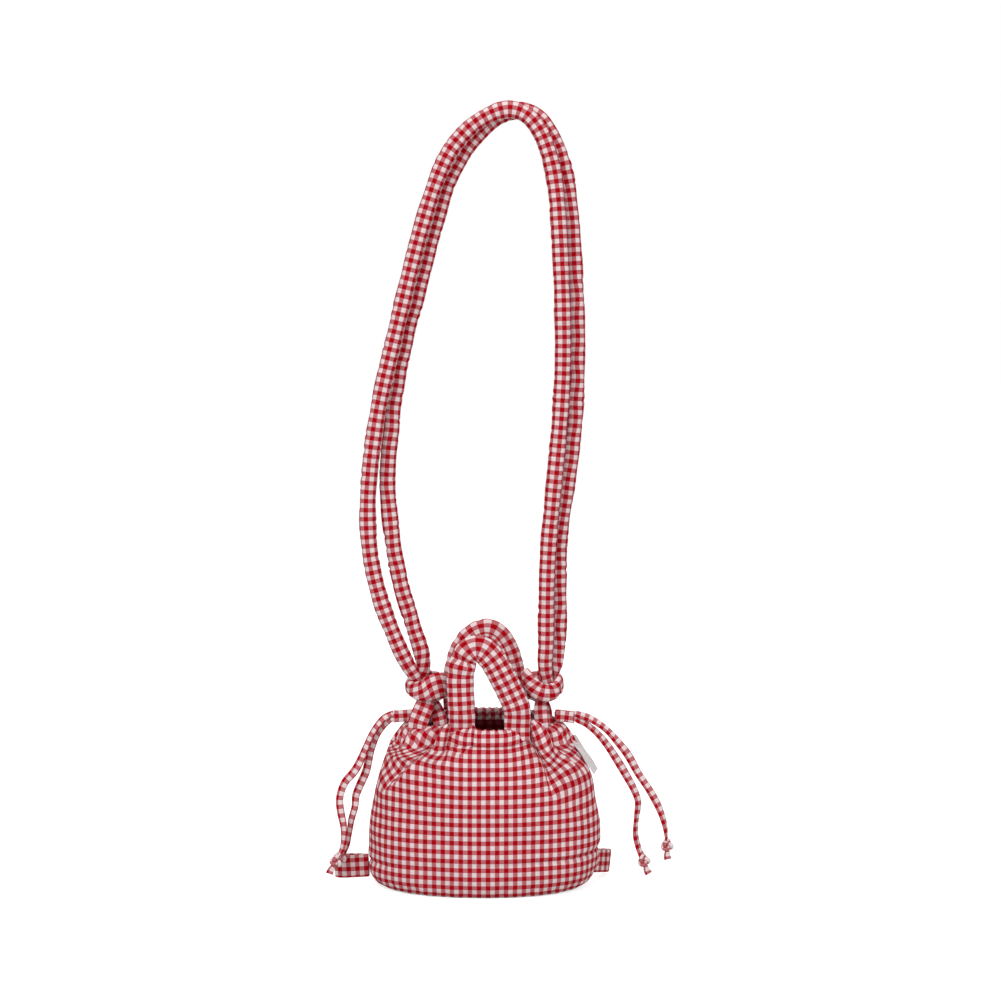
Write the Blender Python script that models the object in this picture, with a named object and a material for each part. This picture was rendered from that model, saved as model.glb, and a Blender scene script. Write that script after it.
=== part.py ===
"""Small gathered drawstring bag with two padded handles and one long padded strap.

Metres, +Z up. The origin is the middle of the flat base, on its underside.
The front of the bag faces -Y, and its left side in the drawing is -X.
"""

import math

import bmesh
import bpy
from mathutils import Vector

# Driving dimensions of the bag body
BELLY_HALF_WIDTH = 0.1155
BELLY_HALF_DEPTH = 0.0625
BELLY_HEIGHT = 0.045
RIM_HALF_WIDTH = 0.0790
RIM_HALF_DEPTH = 0.0385
SEAM_HEIGHT = 0.148
SHOULDER_POWER = 2.2
BASE_EDGE_RADIUS = 0.022
BACK_RIM_RISE = 0.0095
PLAN_SQUARENESS = 2.15
PANEL_WALL = 0.0022
LINING_WALL = 0.0010
CLEARANCE = 0.0003

# Gathers: degrees round the bag from +X, width in degrees, depth in metres
FOLDS = (
    (18.0, 6.0, 0.0050),
    (36.0, 6.0, 0.0055),
    (55.0, 6.5, 0.0045),
    (124.0, 6.5, 0.0045),
    (143.0, 6.0, 0.0055),
    (162.0, 6.0, 0.0050),
    (197.0, 6.0, 0.0050),
    (213.0, 6.0, 0.0058),
    (229.0, 5.5, 0.0052),
    (246.0, 5.5, 0.0060),
    (305.0, 5.5, 0.0060),
    (324.0, 6.0, 0.0052),
    (342.0, 6.0, 0.0050),
)
FOLD_START_HEIGHT = 0.094
FOLD_ROOM = 0.0068

# Drawcord casing along the rim
CASING_HALF_HEIGHT = 0.0088
CASING_HALF_THICKNESS = 0.0038
CASING_WALL = 0.0010
CASING_SIDE_ANGLE = 8.0
CHANNEL_CORD_RADIUS = 0.0013
CHANNEL_CORD_SPREAD = 0.0030
FOOT_SEAT = 0.0002
FOOT_MARGIN = 0.0035
PAD_SQUARENESS = 2.3

# Short sleeves that the drawcords come out of
SLEEVE_TIP_LEFT = 0.0935
SLEEVE_TIP_RIGHT = 0.0885
SLEEVE_ROOT = 0.0735
SLEEVE_HALF_HEIGHT = 0.0065
SLEEVE_HALF_DEPTH = 0.0045
SLEEVE_WALL = 0.0012
SLEEVE_OFFSET_Y = -0.006
SLEEVE_SEAT = 0.0005

# Drawcord tails and their end knots
TAIL_RADIUS = 0.0023
TAIL_PITCH = 0.0026
TAIL_START_DEPTH = 0.007
TAIL_SPACING = 0.0105
KNOT_RADIUS = 0.0060
KNOT_LENGTH = 0.0125
KNOT_STUB = 0.0110

# Strap and the hitches that hold it on its side tabs
STRAP_HALF_THICKNESS = 0.0074
STRAP_HALF_WIDTH = 0.0080
STRAP_SIDES = 8
STRAP_LAYER = 0.0085
STRAP_STEP = 0.028
HITCH_STEP = 0.0070
HITCH_LEFT = Vector((-0.058, 0.0, 0.202))
HITCH_RIGHT = Vector((0.055, 0.0, 0.203))
TAB_WALL = 0.0010
TAB_HALF_WIDTH = 0.0082
TAB_PINCHED_HALF_WIDTH = 0.0047
TAB_FOOT = 0.0522

# Padded grab handles
HANDLE_HALF_WIDTH = 0.0132
HANDLE_HALF_THICKNESS = 0.0068
HANDLE_FOOT_THICKNESS = 0.0020
HANDLE_STAND_OFF = 0.0302
HANDLE_STEP = 0.0125

# Loops low on the sides, and the side label
LOOP_RIBBON_WIDTH = 0.0230
LOOP_RIBBON_WALL = 0.0014
LOOP_LOW_EDGE = 0.0065
LOOP_LENGTH = 0.0350
LOOP_HALF_GAP = 0.0050
LOOP_ROOT_GAP = 0.0014
LABEL_WIDTH = 0.0150
LABEL_LENGTH = 0.0420
LABEL_WALL = 0.0010
LABEL_TOP = 0.1500
LABEL_LIFT = 0.0045

PANEL_SEGMENTS = 34
CASING_SEGMENTS = 30
LINING_SEGMENTS = 30
SIDE_CROWDING = 0.25
EDGE_ROWS = 3
PANEL_ROWS = (0.078, 0.108, 0.119, 0.129, 0.139)
LINING_ROWS = (0.119, 0.139)
RIM_HEIGHT = SEAM_HEIGHT + CLEARANCE + 2.0 * CASING_HALF_HEIGHT
CASING_MIDDLE = SEAM_HEIGHT + CLEARANCE + CASING_HALF_HEIGHT
SLEEVE_MIDDLE = RIM_HEIGHT + SLEEVE_SEAT + SLEEVE_HALF_HEIGHT

RED_CHECK = (0.60, 0.10, 0.13)
PINK_CHECK = (0.72, 0.30, 0.34)
LINING_RED = (0.38, 0.05, 0.07)
PALE_SATIN = (0.78, 0.75, 0.74)


def clear_scene():
    """Remove every object that the file starts with."""
    for item in list(bpy.data.objects):
        bpy.data.objects.remove(item, do_unlink=True)


def cloth(name, colour, roughness):
    """One cloth finish with its own Principled shader."""
    finish = bpy.data.materials.new(name + "_cloth")
    finish.use_nodes = True
    shader = finish.node_tree.nodes["Principled BSDF"]
    shader.inputs["Base Color"].default_value = (*colour, 1.0)
    shader.inputs["Roughness"].default_value = roughness
    shader.inputs["Metallic"].default_value = 0.0
    return finish


def place(name, data, colour, roughness=0.85):
    """Put a mesh or a curve into the scene as a named sub-part."""
    item = bpy.data.objects.new(name, data)
    data.materials.append(cloth(name, colour, roughness))
    bpy.context.collection.objects.link(item)
    return item


def solid(name, bm, colour, roughness=0.85):
    """Finish a bmesh as a closed, smooth shaded sub-part."""
    bmesh.ops.recalc_face_normals(bm, faces=bm.faces[:])
    mesh = bpy.data.meshes.new(name)
    bm.to_mesh(mesh)
    bm.free()
    mesh.shade_smooth()
    mesh.set_sharp_from_angle(angle=math.radians(50.0))
    return place(name, mesh, colour, roughness)


def cap(bm, loop):
    """Close a ring of points with a ladder of faces from its start to its end."""
    count = len(loop)
    for i in range(count // 2 - 1):
        bm.faces.new((loop[i], loop[i + 1], loop[count - 2 - i], loop[count - 1 - i]))


def loft(bm, rings, closed=False, capped=True):
    """Join rings of points into one skin, and close its two ends."""
    loops = [[bm.verts.new(point) for point in ring] for ring in rings]
    count = len(loops[0])
    pairs = list(zip(loops, loops[1:]))
    if closed:
        pairs.append((loops[-1], loops[0]))
    for low, high in pairs:
        for i in range(count):
            j = (i + 1) % count
            bm.faces.new((low[i], low[j], high[j], high[i]))
    if capped and not closed:
        cap(bm, loops[0])
        cap(bm, loops[-1])
    return loops


def join_ends(bm, first, second):
    """Close the gap between two rings of equal count that lie in one end face."""
    count = len(first)
    for i in range(count):
        j = (i + 1) % count
        bm.faces.new((first[i], first[j], second[j], second[i]))


def ease(value):
    """Smooth step from 0 to 1."""
    held = min(max(value, 0.0), 1.0)
    return held * held * (3.0 - 2.0 * held)


def spline(points, step, closed=False):
    """Points every step metres along a smooth curve through points.

    Each point is a Vector of any size whose first three values are its place;
    the values after them are carried along.
    """
    count = len(points)
    spans = count if closed else count - 1
    out = []
    for i in range(spans):
        if closed:
            before, start, end, after = (points[(i + k) % count] for k in (-1, 0, 1, 2))
        else:
            before = points[max(i - 1, 0)]
            start = points[i]
            end = points[i + 1]
            after = points[min(i + 2, count - 1)]
        length = (Vector(end[:3]) - Vector(start[:3])).length
        span_step = step(i) if callable(step) else step
        pieces = max(1, round(length / span_step))
        for k in range(pieces):
            t = k / pieces
            out.append([
                0.5 * (2.0 * b + (c - a) * t + (2.0 * a - 5.0 * b + 4.0 * c - d) * t * t
                       + (3.0 * b - a - 3.0 * c + d) * t * t * t)
                for a, b, c, d in zip(before, start, end, after)
            ])
    if not closed:
        out.append(list(points[-1]))
    return out


def rounded(angle, half_x, half_y, squareness):
    """Point on a rounded oval, as (x, y)."""
    power = 2.0 / squareness
    cosine = math.cos(angle)
    sine = math.sin(angle)
    return (
        math.copysign(abs(cosine) ** power, cosine) * half_x,
        math.copysign(abs(sine) ** power, sine) * half_y,
    )


def girth(height):
    """Half width and half depth of the bag at a height, before the folds."""
    rise = (height - BELLY_HEIGHT) / (RIM_HEIGHT - BELLY_HEIGHT)
    share = max(rise, 0.0) ** SHOULDER_POWER
    return (
        BELLY_HALF_WIDTH - (BELLY_HALF_WIDTH - RIM_HALF_WIDTH) * share,
        BELLY_HALF_DEPTH - (BELLY_HALF_DEPTH - RIM_HALF_DEPTH) * share,
    )


def fold_ramp(height):
    """How far the gathers have opened out at a height: 1 at the casing."""
    return ease((height - FOLD_START_HEIGHT) / (SEAM_HEIGHT - FOLD_START_HEIGHT))


def fold_depth(degrees, height):
    """Depth of the gathers at an angle and a height."""
    depth = 0.0
    for middle, width, deep in FOLDS:
        away = (degrees - middle + 180.0) % 360.0 - 180.0
        depth += deep * math.exp(-(away / width) ** 2)
    return depth * fold_ramp(height)


def back_rise(degrees, height):
    """Extra height of the back of the bag, whose rim stands above the front's."""
    share = max(math.sin(math.radians(degrees)), 0.0) ** 1.5
    return BACK_RIM_RISE * share * ease((height - BELLY_HEIGHT) / (SEAM_HEIGHT - BELLY_HEIGHT))


def wall_point(degrees, height, depth, turn=90.0, fold=None):
    """Point depth metres inside the bag's outer face.

    turn is 90 on the upright wall and falls to 0 where the rounded lower edge
    becomes the flat base. fold overrides the depth of the gathers.
    """
    half_width, half_depth = girth(height)
    tuck = BASE_EDGE_RADIUS * (1.0 - math.sin(math.radians(turn)))
    x, y = rounded(math.radians(degrees), half_width - tuck, half_depth - tuck, PLAN_SQUARENESS)
    gather = fold_depth(degrees, height) if fold is None else fold
    inward = depth * math.sin(math.radians(turn)) + gather
    scale = 1.0 - inward / math.hypot(x, y)
    lift = depth * math.cos(math.radians(turn))
    return Vector((x * scale, y * scale, height + lift + back_rise(degrees, height)))


def crowded_angles(first, last, count):
    """Angles from first to last, closer together at the gathered sides."""
    out = []
    for i in range(count + 1):
        share = i / count
        share -= SIDE_CROWDING * math.sin(math.tau * share) / math.tau
        out.append(first + (last - first) * share)
    return out


def wall_stations(top, upper_rows):
    """Heights and turns of the rows of the wall, from the base up to top."""
    rows = []
    for i in range(EDGE_ROWS + 1):
        turn = 90.0 * i / EDGE_ROWS
        rows.append((BASE_EDGE_RADIUS * (1.0 - math.cos(math.radians(turn))), turn))
    upright = sorted((BELLY_HEIGHT, FOLD_START_HEIGHT, *upper_rows))
    rows.extend((height, 90.0) for height in upright if height < top)
    rows.append((top, 90.0))
    return rows


def wall_panel(name, first, last):
    """Front or back panel of the bag, from one side seam to the other."""
    half_gap = math.degrees(0.5 * CLEARANCE / RIM_HALF_DEPTH)
    angles = crowded_angles(first + half_gap, last - half_gap, PANEL_SEGMENTS)
    rings = []
    for height, turn in wall_stations(SEAM_HEIGHT, PANEL_ROWS):
        outer = [wall_point(angle, height, 0.0, turn) for angle in angles]
        inner = [wall_point(angle, height, PANEL_WALL, turn) for angle in angles]
        rings.append(outer + inner[::-1])
    bm = bmesh.new()
    loft(bm, rings)
    return solid(name, bm, RED_CHECK)


def base_panel():
    """Flat oval base, set inside the lower edge of the wall panels."""
    half_width = BELLY_HALF_WIDTH - BASE_EDGE_RADIUS - CLEARANCE
    half_depth = BELLY_HALF_DEPTH - BASE_EDGE_RADIUS - CLEARANCE
    rings = []
    for height in (0.0, PANEL_WALL):
        ring = []
        for i in range(PANEL_SEGMENTS):
            x, y = rounded(math.tau * i / PANEL_SEGMENTS, half_width, half_depth, PLAN_SQUARENESS)
            ring.append((x, y, height))
        rings.append(ring)
    bm = bmesh.new()
    loft(bm, rings)
    return solid("base_panel", bm, RED_CHECK)


def lining():
    """Smooth inner bag that hangs from the casing seam and lies on the base."""
    top = SEAM_HEIGHT - CLEARANCE
    outside = PANEL_WALL + CLEARANCE
    inside = outside + LINING_WALL
    angles = [360.0 * i / LINING_SEGMENTS for i in range(LINING_SEGMENTS)]

    def ring(height, turn, depth):
        room = FOLD_ROOM * fold_ramp(height)
        return [wall_point(angle, height, depth, turn, room) for angle in angles]

    rows = wall_stations(top, LINING_ROWS)
    rings = [ring(height, turn, outside) for height, turn in rows]
    rings += [ring(height, turn, inside) for height, turn in reversed(rows)]
    bm = bmesh.new()
    loft(bm, rings)
    return solid("lining", bm, LINING_RED)


def casing_section(degrees, half_height, half_thickness):
    """Eight-sided ring round the drawcord channel at one angle."""
    ring = []
    for i in range(8):
        thick, tall = rounded(math.tau * (i + 0.5) / 8.0, half_thickness, half_height, 2.8)
        ring.append(wall_point(degrees, CASING_MIDDLE + tall, CASING_HALF_THICKNESS - thick))
    return ring


def casing_angles(first):
    """Angles of the casing's rings on the half of the rim that starts at first."""
    return crowded_angles(first + CASING_SIDE_ANGLE, first + 180.0 - CASING_SIDE_ANGLE,
                          CASING_SEGMENTS)


def casing(name, first):
    """Hollow band along the rim, open at its two side ends for the drawcords."""
    angles = casing_angles(first)
    outer = [casing_section(a, CASING_HALF_HEIGHT, CASING_HALF_THICKNESS) for a in angles]
    inner = [casing_section(a, CASING_HALF_HEIGHT - CASING_WALL,
                            CASING_HALF_THICKNESS - CASING_WALL) for a in angles]
    bm = bmesh.new()
    skin = loft(bm, outer, capped=False)
    channel = loft(bm, inner, capped=False)
    join_ends(bm, skin[0], channel[0])
    join_ends(bm, skin[-1], channel[-1])
    return solid(name, bm, RED_CHECK)


def tube(name, points, radius, resolution, colour):
    """Round cord along points, as a curve with filled ends."""
    curve = bpy.data.curves.new(name, "CURVE")
    curve.dimensions = "3D"
    curve.bevel_depth = radius
    curve.bevel_resolution = resolution
    curve.use_fill_caps = True
    path = curve.splines.new("POLY")
    path.points.add(len(points) - 1)
    for point, place_ in zip(path.points, points):
        point.co = (place_[0], place_[1], place_[2], 1.0)
    path.use_smooth = True
    return place(name, curve, colour)


def channel_cord(name, side, level):
    """Drawcord inside the casing, with both ends led into the sleeve on one side.

    side is -1 for the cord whose ends come out on the left, 1 for the right.
    """
    exit_angle = 180.0 if side < 0 else 0.0
    height = CASING_MIDDLE + level * CHANNEL_CORD_SPREAD
    angles = (casing_angles(exit_angle) + [exit_angle + 180.0]
              + casing_angles(exit_angle + 180.0))
    run = [wall_point(angle, height, CASING_HALF_THICKNESS) for angle in angles]
    # The ends turn in towards the mouth, rise, and run out through the sleeve
    tip = (SLEEVE_TIP_LEFT if side < 0 else SLEEVE_TIP_RIGHT) - TAIL_START_DEPTH
    tip -= CLEARANCE
    low = SLEEVE_MIDDLE - TAIL_PITCH
    high = SLEEVE_MIDDLE + TAIL_PITCH
    front = [
        (0.0728, -0.0018, height + 0.001), (0.0690, -0.0020, height + 0.003),
        (0.0658, -0.0040, 0.5 * (height + low) + 0.002), (0.0672, -0.0058, low - 0.001),
        (SLEEVE_ROOT, SLEEVE_OFFSET_Y, low), (tip, SLEEVE_OFFSET_Y, low),
    ]
    back = [
        (0.0728, 0.0020, height + 0.001), (0.0685, 0.0024, height + 0.003),
        (0.0642, 0.0010, 0.5 * (height + high)), (0.0640, -0.0035, high - 0.002),
        (0.0680, -0.0058, high), (SLEEVE_ROOT, SLEEVE_OFFSET_Y, high),
        (tip, SLEEVE_OFFSET_Y, high),
    ]
    front = [Vector((side * x, y, z)) for x, y, z in front]
    back = [Vector((side * x, y, z)) for x, y, z in back]
    if side < 0:
        first, last = front, back
    else:
        first, last = back, front
    lead_in = spline(first[::-1] + [run[0]], 0.004)
    lead_out = spline([run[-1]] + last, 0.004)
    return tube(name, lead_in[:-1] + run + lead_out[1:], CHANNEL_CORD_RADIUS, 0, PINK_CHECK)


def cord_sleeve(name, side):
    """Short hollow sleeve beside the rim, round both ends of one drawcord."""
    tip = SLEEVE_TIP_LEFT if side < 0 else SLEEVE_TIP_RIGHT

    def ring(x, wall):
        points = []
        for i in range(8):
            y, z = rounded(math.tau * (i + 0.5) / 8.0, SLEEVE_HALF_DEPTH - wall,
                           SLEEVE_HALF_HEIGHT - wall, 5.0)
            points.append((side * x, SLEEVE_OFFSET_Y + y, SLEEVE_MIDDLE + z))
        return points

    ends = (SLEEVE_ROOT, tip)
    bm = bmesh.new()
    skin = loft(bm, [ring(x, 0.0) for x in ends], capped=False)
    bore = loft(bm, [ring(x, SLEEVE_WALL) for x in ends], capped=False)
    join_ends(bm, skin[0], bore[0])
    join_ends(bm, skin[-1], bore[-1])
    return solid(name, bm, RED_CHECK)


def padded_run(name, stations, sides, colour, closed=False):
    """Padded tube whose flat side, thickness and width change along its path.

    Each station is [x, y, z, nx, ny, nz, half thickness, half width].
    """
    rings = []
    count = len(stations)
    for i, station in enumerate(stations):
        centre = Vector(station[:3])
        if closed:
            ahead = Vector(stations[(i + 1) % count][:3])
            behind = Vector(stations[i - 1][:3])
        else:
            ahead = Vector(stations[min(i + 1, count - 1)][:3])
            behind = Vector(stations[max(i - 1, 0)][:3])
        along = (ahead - behind).normalized()
        facing = Vector(station[3:6])
        facing = (facing - along * facing.dot(along)).normalized()
        across = along.cross(facing)
        ring = []
        for k in range(sides):
            thick, wide = rounded(math.tau * (k + 0.5) / sides, station[6], station[7],
                                  PAD_SQUARENESS)
            ring.append(centre + facing * thick + across * wide)
        rings.append(ring)
    bm = bmesh.new()
    loft(bm, rings, closed=closed)
    return solid(name, bm, colour)


FRONT = (0.0, -1.0, 0.0)
BACK = (0.0, 1.0, 0.0)

# One hitch, in metres from its middle, drawn for the left tab: place, facing, half
# thickness, half width. The strap goes down in front, through the tab, round in front of
# both runs and behind them, and back through the tab.
HITCH = (
    ((-0.0085, -0.0048, -0.0010), FRONT, 0.0036, 0.0055),
    ((-0.0050, -0.0049, -0.0070), FRONT, 0.0036, 0.0060),
    ((0.0010, -0.0050, -0.0090), FRONT, 0.0036, 0.0062),
    ((0.0080, -0.0053, -0.0080), FRONT, 0.0036, 0.0064),
    ((0.0132, -0.0075, -0.0030), (-0.5, -0.9, 0.0), 0.0036, 0.0070),
    ((0.0152, -0.0112, 0.0020), (-1.0, 0.0, 0.0), 0.0038, 0.0080),
    ((0.0122, -0.0150, 0.0040), (-0.5, 0.9, 0.0), 0.0040, 0.0095),
    ((0.0040, -0.0168, 0.0030), BACK, 0.0042, 0.0115),
    ((-0.0060, -0.0168, 0.0005), BACK, 0.0042, 0.0118),
    ((-0.0145, -0.0132, -0.0010), (0.7, 0.7, 0.0), 0.0040, 0.0108),
    ((-0.0192, -0.0040, -0.0010), (1.0, 0.0, 0.0), 0.0040, 0.0100),
    ((-0.0188, 0.0060, 0.0000), (1.0, -0.2, 0.0), 0.0040, 0.0100),
    ((-0.0120, 0.0138, 0.0015), (0.6, -0.8, 0.0), 0.0042, 0.0108),
    ((-0.0020, 0.0165, 0.0022), FRONT, 0.0042, 0.0112),
    ((0.0080, 0.0155, 0.0020), (-0.1, -1.0, 0.0), 0.0042, 0.0100),
    ((0.0148, 0.0110, 0.0000), (-1.0, 0.0, 0.0), 0.0038, 0.0080),
    ((0.0135, 0.0073, -0.0040), (-0.5, 0.9, 0.0), 0.0036, 0.0070),
    ((0.0080, 0.0053, -0.0080), BACK, 0.0036, 0.0064),
    ((0.0010, 0.0050, -0.0090), BACK, 0.0036, 0.0062),
    ((-0.0050, 0.0049, -0.0070), BACK, 0.0036, 0.0060),
    ((-0.0085, 0.0048, -0.0010), BACK, 0.0036, 0.0055),
)
# Runs of the strap above each hitch, from its middle outwards: x, y, z, thickness, width
LEFT_FRONT_RUN = ((-0.0105, -0.0048, 0.0050, 0.0040, 0.0056), (-0.0145, -0.0054, 0.0130, 0.0048, 0.0064),
                  (-0.0215, -0.0070, 0.0250, 0.0062, 0.0076))
LEFT_BACK_RUN = ((-0.0070, 0.0048, 0.0070, 0.0040, 0.0056), (-0.0050, 0.0056, 0.0180, 0.0052, 0.0068),
                 (-0.0080, 0.0075, 0.0360, 0.0066, 0.0080))
RIGHT_FRONT_RUN = ((-0.0070, -0.0048, 0.0050, 0.0040, 0.0056), (-0.0050, -0.0054, 0.0130, 0.0048, 0.0064),
                   (-0.0040, -0.0070, 0.0260, 0.0062, 0.0076))
RIGHT_BACK_RUN = ((-0.0105, 0.0048, 0.0060, 0.0040, 0.0056), (-0.0135, 0.0056, 0.0150, 0.0052, 0.0068),
                  (-0.0160, 0.0075, 0.0300, 0.0066, 0.0080))
# The two free runs over the top, left to right, as (x, z)
FRONT_ARCH = ((-0.090, 0.250), (-0.106, 0.293), (-0.116, 0.342), (-0.117, 0.400), (-0.107, 0.480),
              (-0.087, 0.567), (-0.064, 0.658), (-0.042, 0.722), (-0.020, 0.753), (0.004, 0.770),
              (0.026, 0.775), (0.045, 0.765), (0.060, 0.738), (0.070, 0.687), (0.076, 0.569),
              (0.074, 0.480), (0.062, 0.340), (0.060, 0.250))
BACK_ARCH = ((-0.074, 0.264), (-0.087, 0.309), (-0.097, 0.375), (-0.098, 0.430), (-0.087, 0.520),
             (-0.065, 0.609), (-0.042, 0.693), (-0.024, 0.732), (-0.004, 0.757), (0.019, 0.773),
             (0.040, 0.775), (0.059, 0.761), (0.078, 0.717), (0.087, 0.640), (0.091, 0.540),
             (0.087, 0.450), (0.074, 0.350), (0.0735, 0.269))


def shoulder_strap():
    """Endless padded strap, hitched to the tab on each side of the mouth."""

    def hitch(middle, side):
        return [
            [middle.x - side * p[0], middle.y + p[1], middle.z + p[2],
             -side * f[0], f[1], f[2], thickness, width]
            for p, f, thickness, width in HITCH
        ]

    def run(middle, side, rows, facing):
        return [
            [middle.x - side * x, middle.y + y, middle.z + z, *facing, thickness, width]
            for x, y, z, thickness, width in rows
        ]

    def arch(rows, layer, facing):
        return [
            [x, layer, z, *facing, STRAP_HALF_THICKNESS, STRAP_HALF_WIDTH] for x, z in rows
        ]

    left = (run(HITCH_LEFT, -1.0, LEFT_FRONT_RUN, FRONT)[::-1] + hitch(HITCH_LEFT, -1.0)
            + run(HITCH_LEFT, -1.0, LEFT_BACK_RUN, BACK))
    right = (run(HITCH_RIGHT, 1.0, RIGHT_FRONT_RUN, FRONT)[::-1] + hitch(HITCH_RIGHT, 1.0)
             + run(HITCH_RIGHT, 1.0, RIGHT_BACK_RUN, BACK))
    over_back = arch(BACK_ARCH, STRAP_LAYER, BACK)
    over_front = arch(FRONT_ARCH, -STRAP_LAYER, FRONT)
    whole = left + over_back + right[::-1] + over_front[::-1]
    first_arch = len(left)
    second_hitch = first_arch + len(over_back)
    second_arch = second_hitch + len(right)

    def step(i):
        in_hitch = i < first_arch - 1 or second_hitch <= i < second_arch - 1
        return HITCH_STEP if in_hitch else STRAP_STEP

    return padded_run("shoulder_strap", spline(whole, step, closed=True), STRAP_SIDES,
                      PINK_CHECK, closed=True)


def ribbon(name, path, across, half_widths, wall, colour):
    """Flat ribbon along path, with its width along the direction across."""
    rings = []
    count = len(path)
    for i, point in enumerate(path):
        along = (path[min(i + 1, count - 1)] - path[max(i - 1, 0)]).normalized()
        wide = (across - along * across.dot(along)).normalized() * half_widths[i]
        thick = along.cross(wide).normalized() * (0.5 * wall)
        rings.append([point + wide + thick, point - wide + thick,
                      point - wide - thick, point + wide - thick])
    bm = bmesh.new()
    loft(bm, rings)
    return solid(name, bm, colour)


def foot_seat(x, half_width, half_thickness, squareness, sign=-1.0):
    """Y of the middle of a foot that lies against the casing's inner face.

    sign is -1 for the front casing and 1 for the back one. The face of the foot swells
    by half_thickness at its middle and less at its edges.
    """
    seat = RIM_HALF_DEPTH
    for angle in casing_angles(180.0 if sign < 0.0 else 0.0):
        for point in casing_section(angle, CASING_HALF_HEIGHT, CASING_HALF_THICKNESS):
            share = abs(point.x - x) / half_width
            if share < 1.0:
                swell = half_thickness * (1.0 - share ** squareness) ** (1.0 / squareness)
                seat = min(seat, sign * point.y - swell)
    return sign * (seat - CLEARANCE - FOOT_SEAT)


def strap_tab(name, middle, side):
    """Ribbon loop from inside the rim up through the hitch, folded over in it."""
    foot_low = CASING_MIDDLE - 0.5 * CASING_HALF_HEIGHT
    foot_y = foot_seat(side * TAB_FOOT, TAB_HALF_WIDTH + FOOT_MARGIN, 0.5 * TAB_WALL, 8.0)
    layer = TAB_WALL + CLEARANCE
    top_x = middle.x - side * 0.0030
    stand = 0.0102
    rows = (
        (side * TAB_FOOT, foot_y, foot_low, TAB_HALF_WIDTH),
        (side * TAB_FOOT, foot_y, RIM_HEIGHT, TAB_HALF_WIDTH),
        (0.5 * (side * TAB_FOOT + top_x), 0.5 * (foot_y - stand), RIM_HEIGHT + 0.010, TAB_HALF_WIDTH),
        (top_x, -stand, middle.z - 0.0165, TAB_PINCHED_HALF_WIDTH),
        (top_x, -stand, middle.z - 0.0030, TAB_PINCHED_HALF_WIDTH),
        (top_x, -0.85 * stand, middle.z + 0.0012, TAB_PINCHED_HALF_WIDTH),
        (top_x, 0.85 * stand, middle.z + 0.0012, TAB_PINCHED_HALF_WIDTH),
        (top_x, stand, middle.z - 0.0030, TAB_PINCHED_HALF_WIDTH),
        (top_x, stand, middle.z - 0.0165, TAB_PINCHED_HALF_WIDTH),
        (0.5 * (side * TAB_FOOT + top_x), foot_y + 0.0080, RIM_HEIGHT + 0.009, TAB_HALF_WIDTH),
        (side * TAB_FOOT, foot_y + layer, RIM_HEIGHT - 0.001, TAB_HALF_WIDTH),
        (side * TAB_FOOT, foot_y + layer, foot_low, TAB_HALF_WIDTH),
    )
    samples = spline(rows, 0.005)
    path = [Vector(sample[:3]) for sample in samples]
    widths = [sample[3] for sample in samples]
    return ribbon(name, path, Vector((1.0, 0.0, 0.0)), widths, TAB_WALL, RED_CHECK)


# Middle lines of the two grab handles above the rim, left to right, as (x, z)
FRONT_HANDLE = ((-0.0240, 0.180), (-0.0250, 0.200), (-0.0250, 0.220), (-0.0205, 0.2365), (-0.0110, 0.2445),
                (-0.0010, 0.2415), (0.0085, 0.2305), (0.0170, 0.2150), (0.0250, 0.1990), (0.0310, 0.1840))
BACK_HANDLE = ((-0.0310, 0.190), (-0.0305, 0.206), (-0.0275, 0.2230), (-0.0215, 0.2380), (-0.0120, 0.2485),
               (-0.0005, 0.2530), (0.0100, 0.2490), (0.0185, 0.2370), (0.0240, 0.2210), (0.0270, 0.2040),
               (0.0290, 0.190))


def grab_handle(name, rows, back):
    """Padded handle whose two flat ends are sewn inside the rim."""
    sign = 1.0 if back else -1.0
    lift = BACK_RIM_RISE if back else 0.0
    foot_low = CASING_MIDDLE - 0.5 * CASING_HALF_HEIGHT + lift
    rim = RIM_HEIGHT + lift
    facing = (0.0, sign, 0.0)

    def foot(x, z):
        seat = foot_seat(x, HANDLE_HALF_WIDTH, HANDLE_FOOT_THICKNESS, PAD_SQUARENESS, sign)
        return [x, seat, z, *facing,
                HANDLE_FOOT_THICKNESS, HANDLE_HALF_WIDTH]

    stations = [foot(rows[0][0], foot_low), foot(rows[0][0], rim)]
    for x, z in rows:
        stations.append([x, sign * HANDLE_STAND_OFF, z, *facing,
                         HANDLE_HALF_THICKNESS, HANDLE_HALF_WIDTH])
    stations += [foot(rows[-1][0], rim), foot(rows[-1][0], foot_low)]
    return padded_run(name, spline(stations, HANDLE_STEP), 10, PINK_CHECK)


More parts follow.
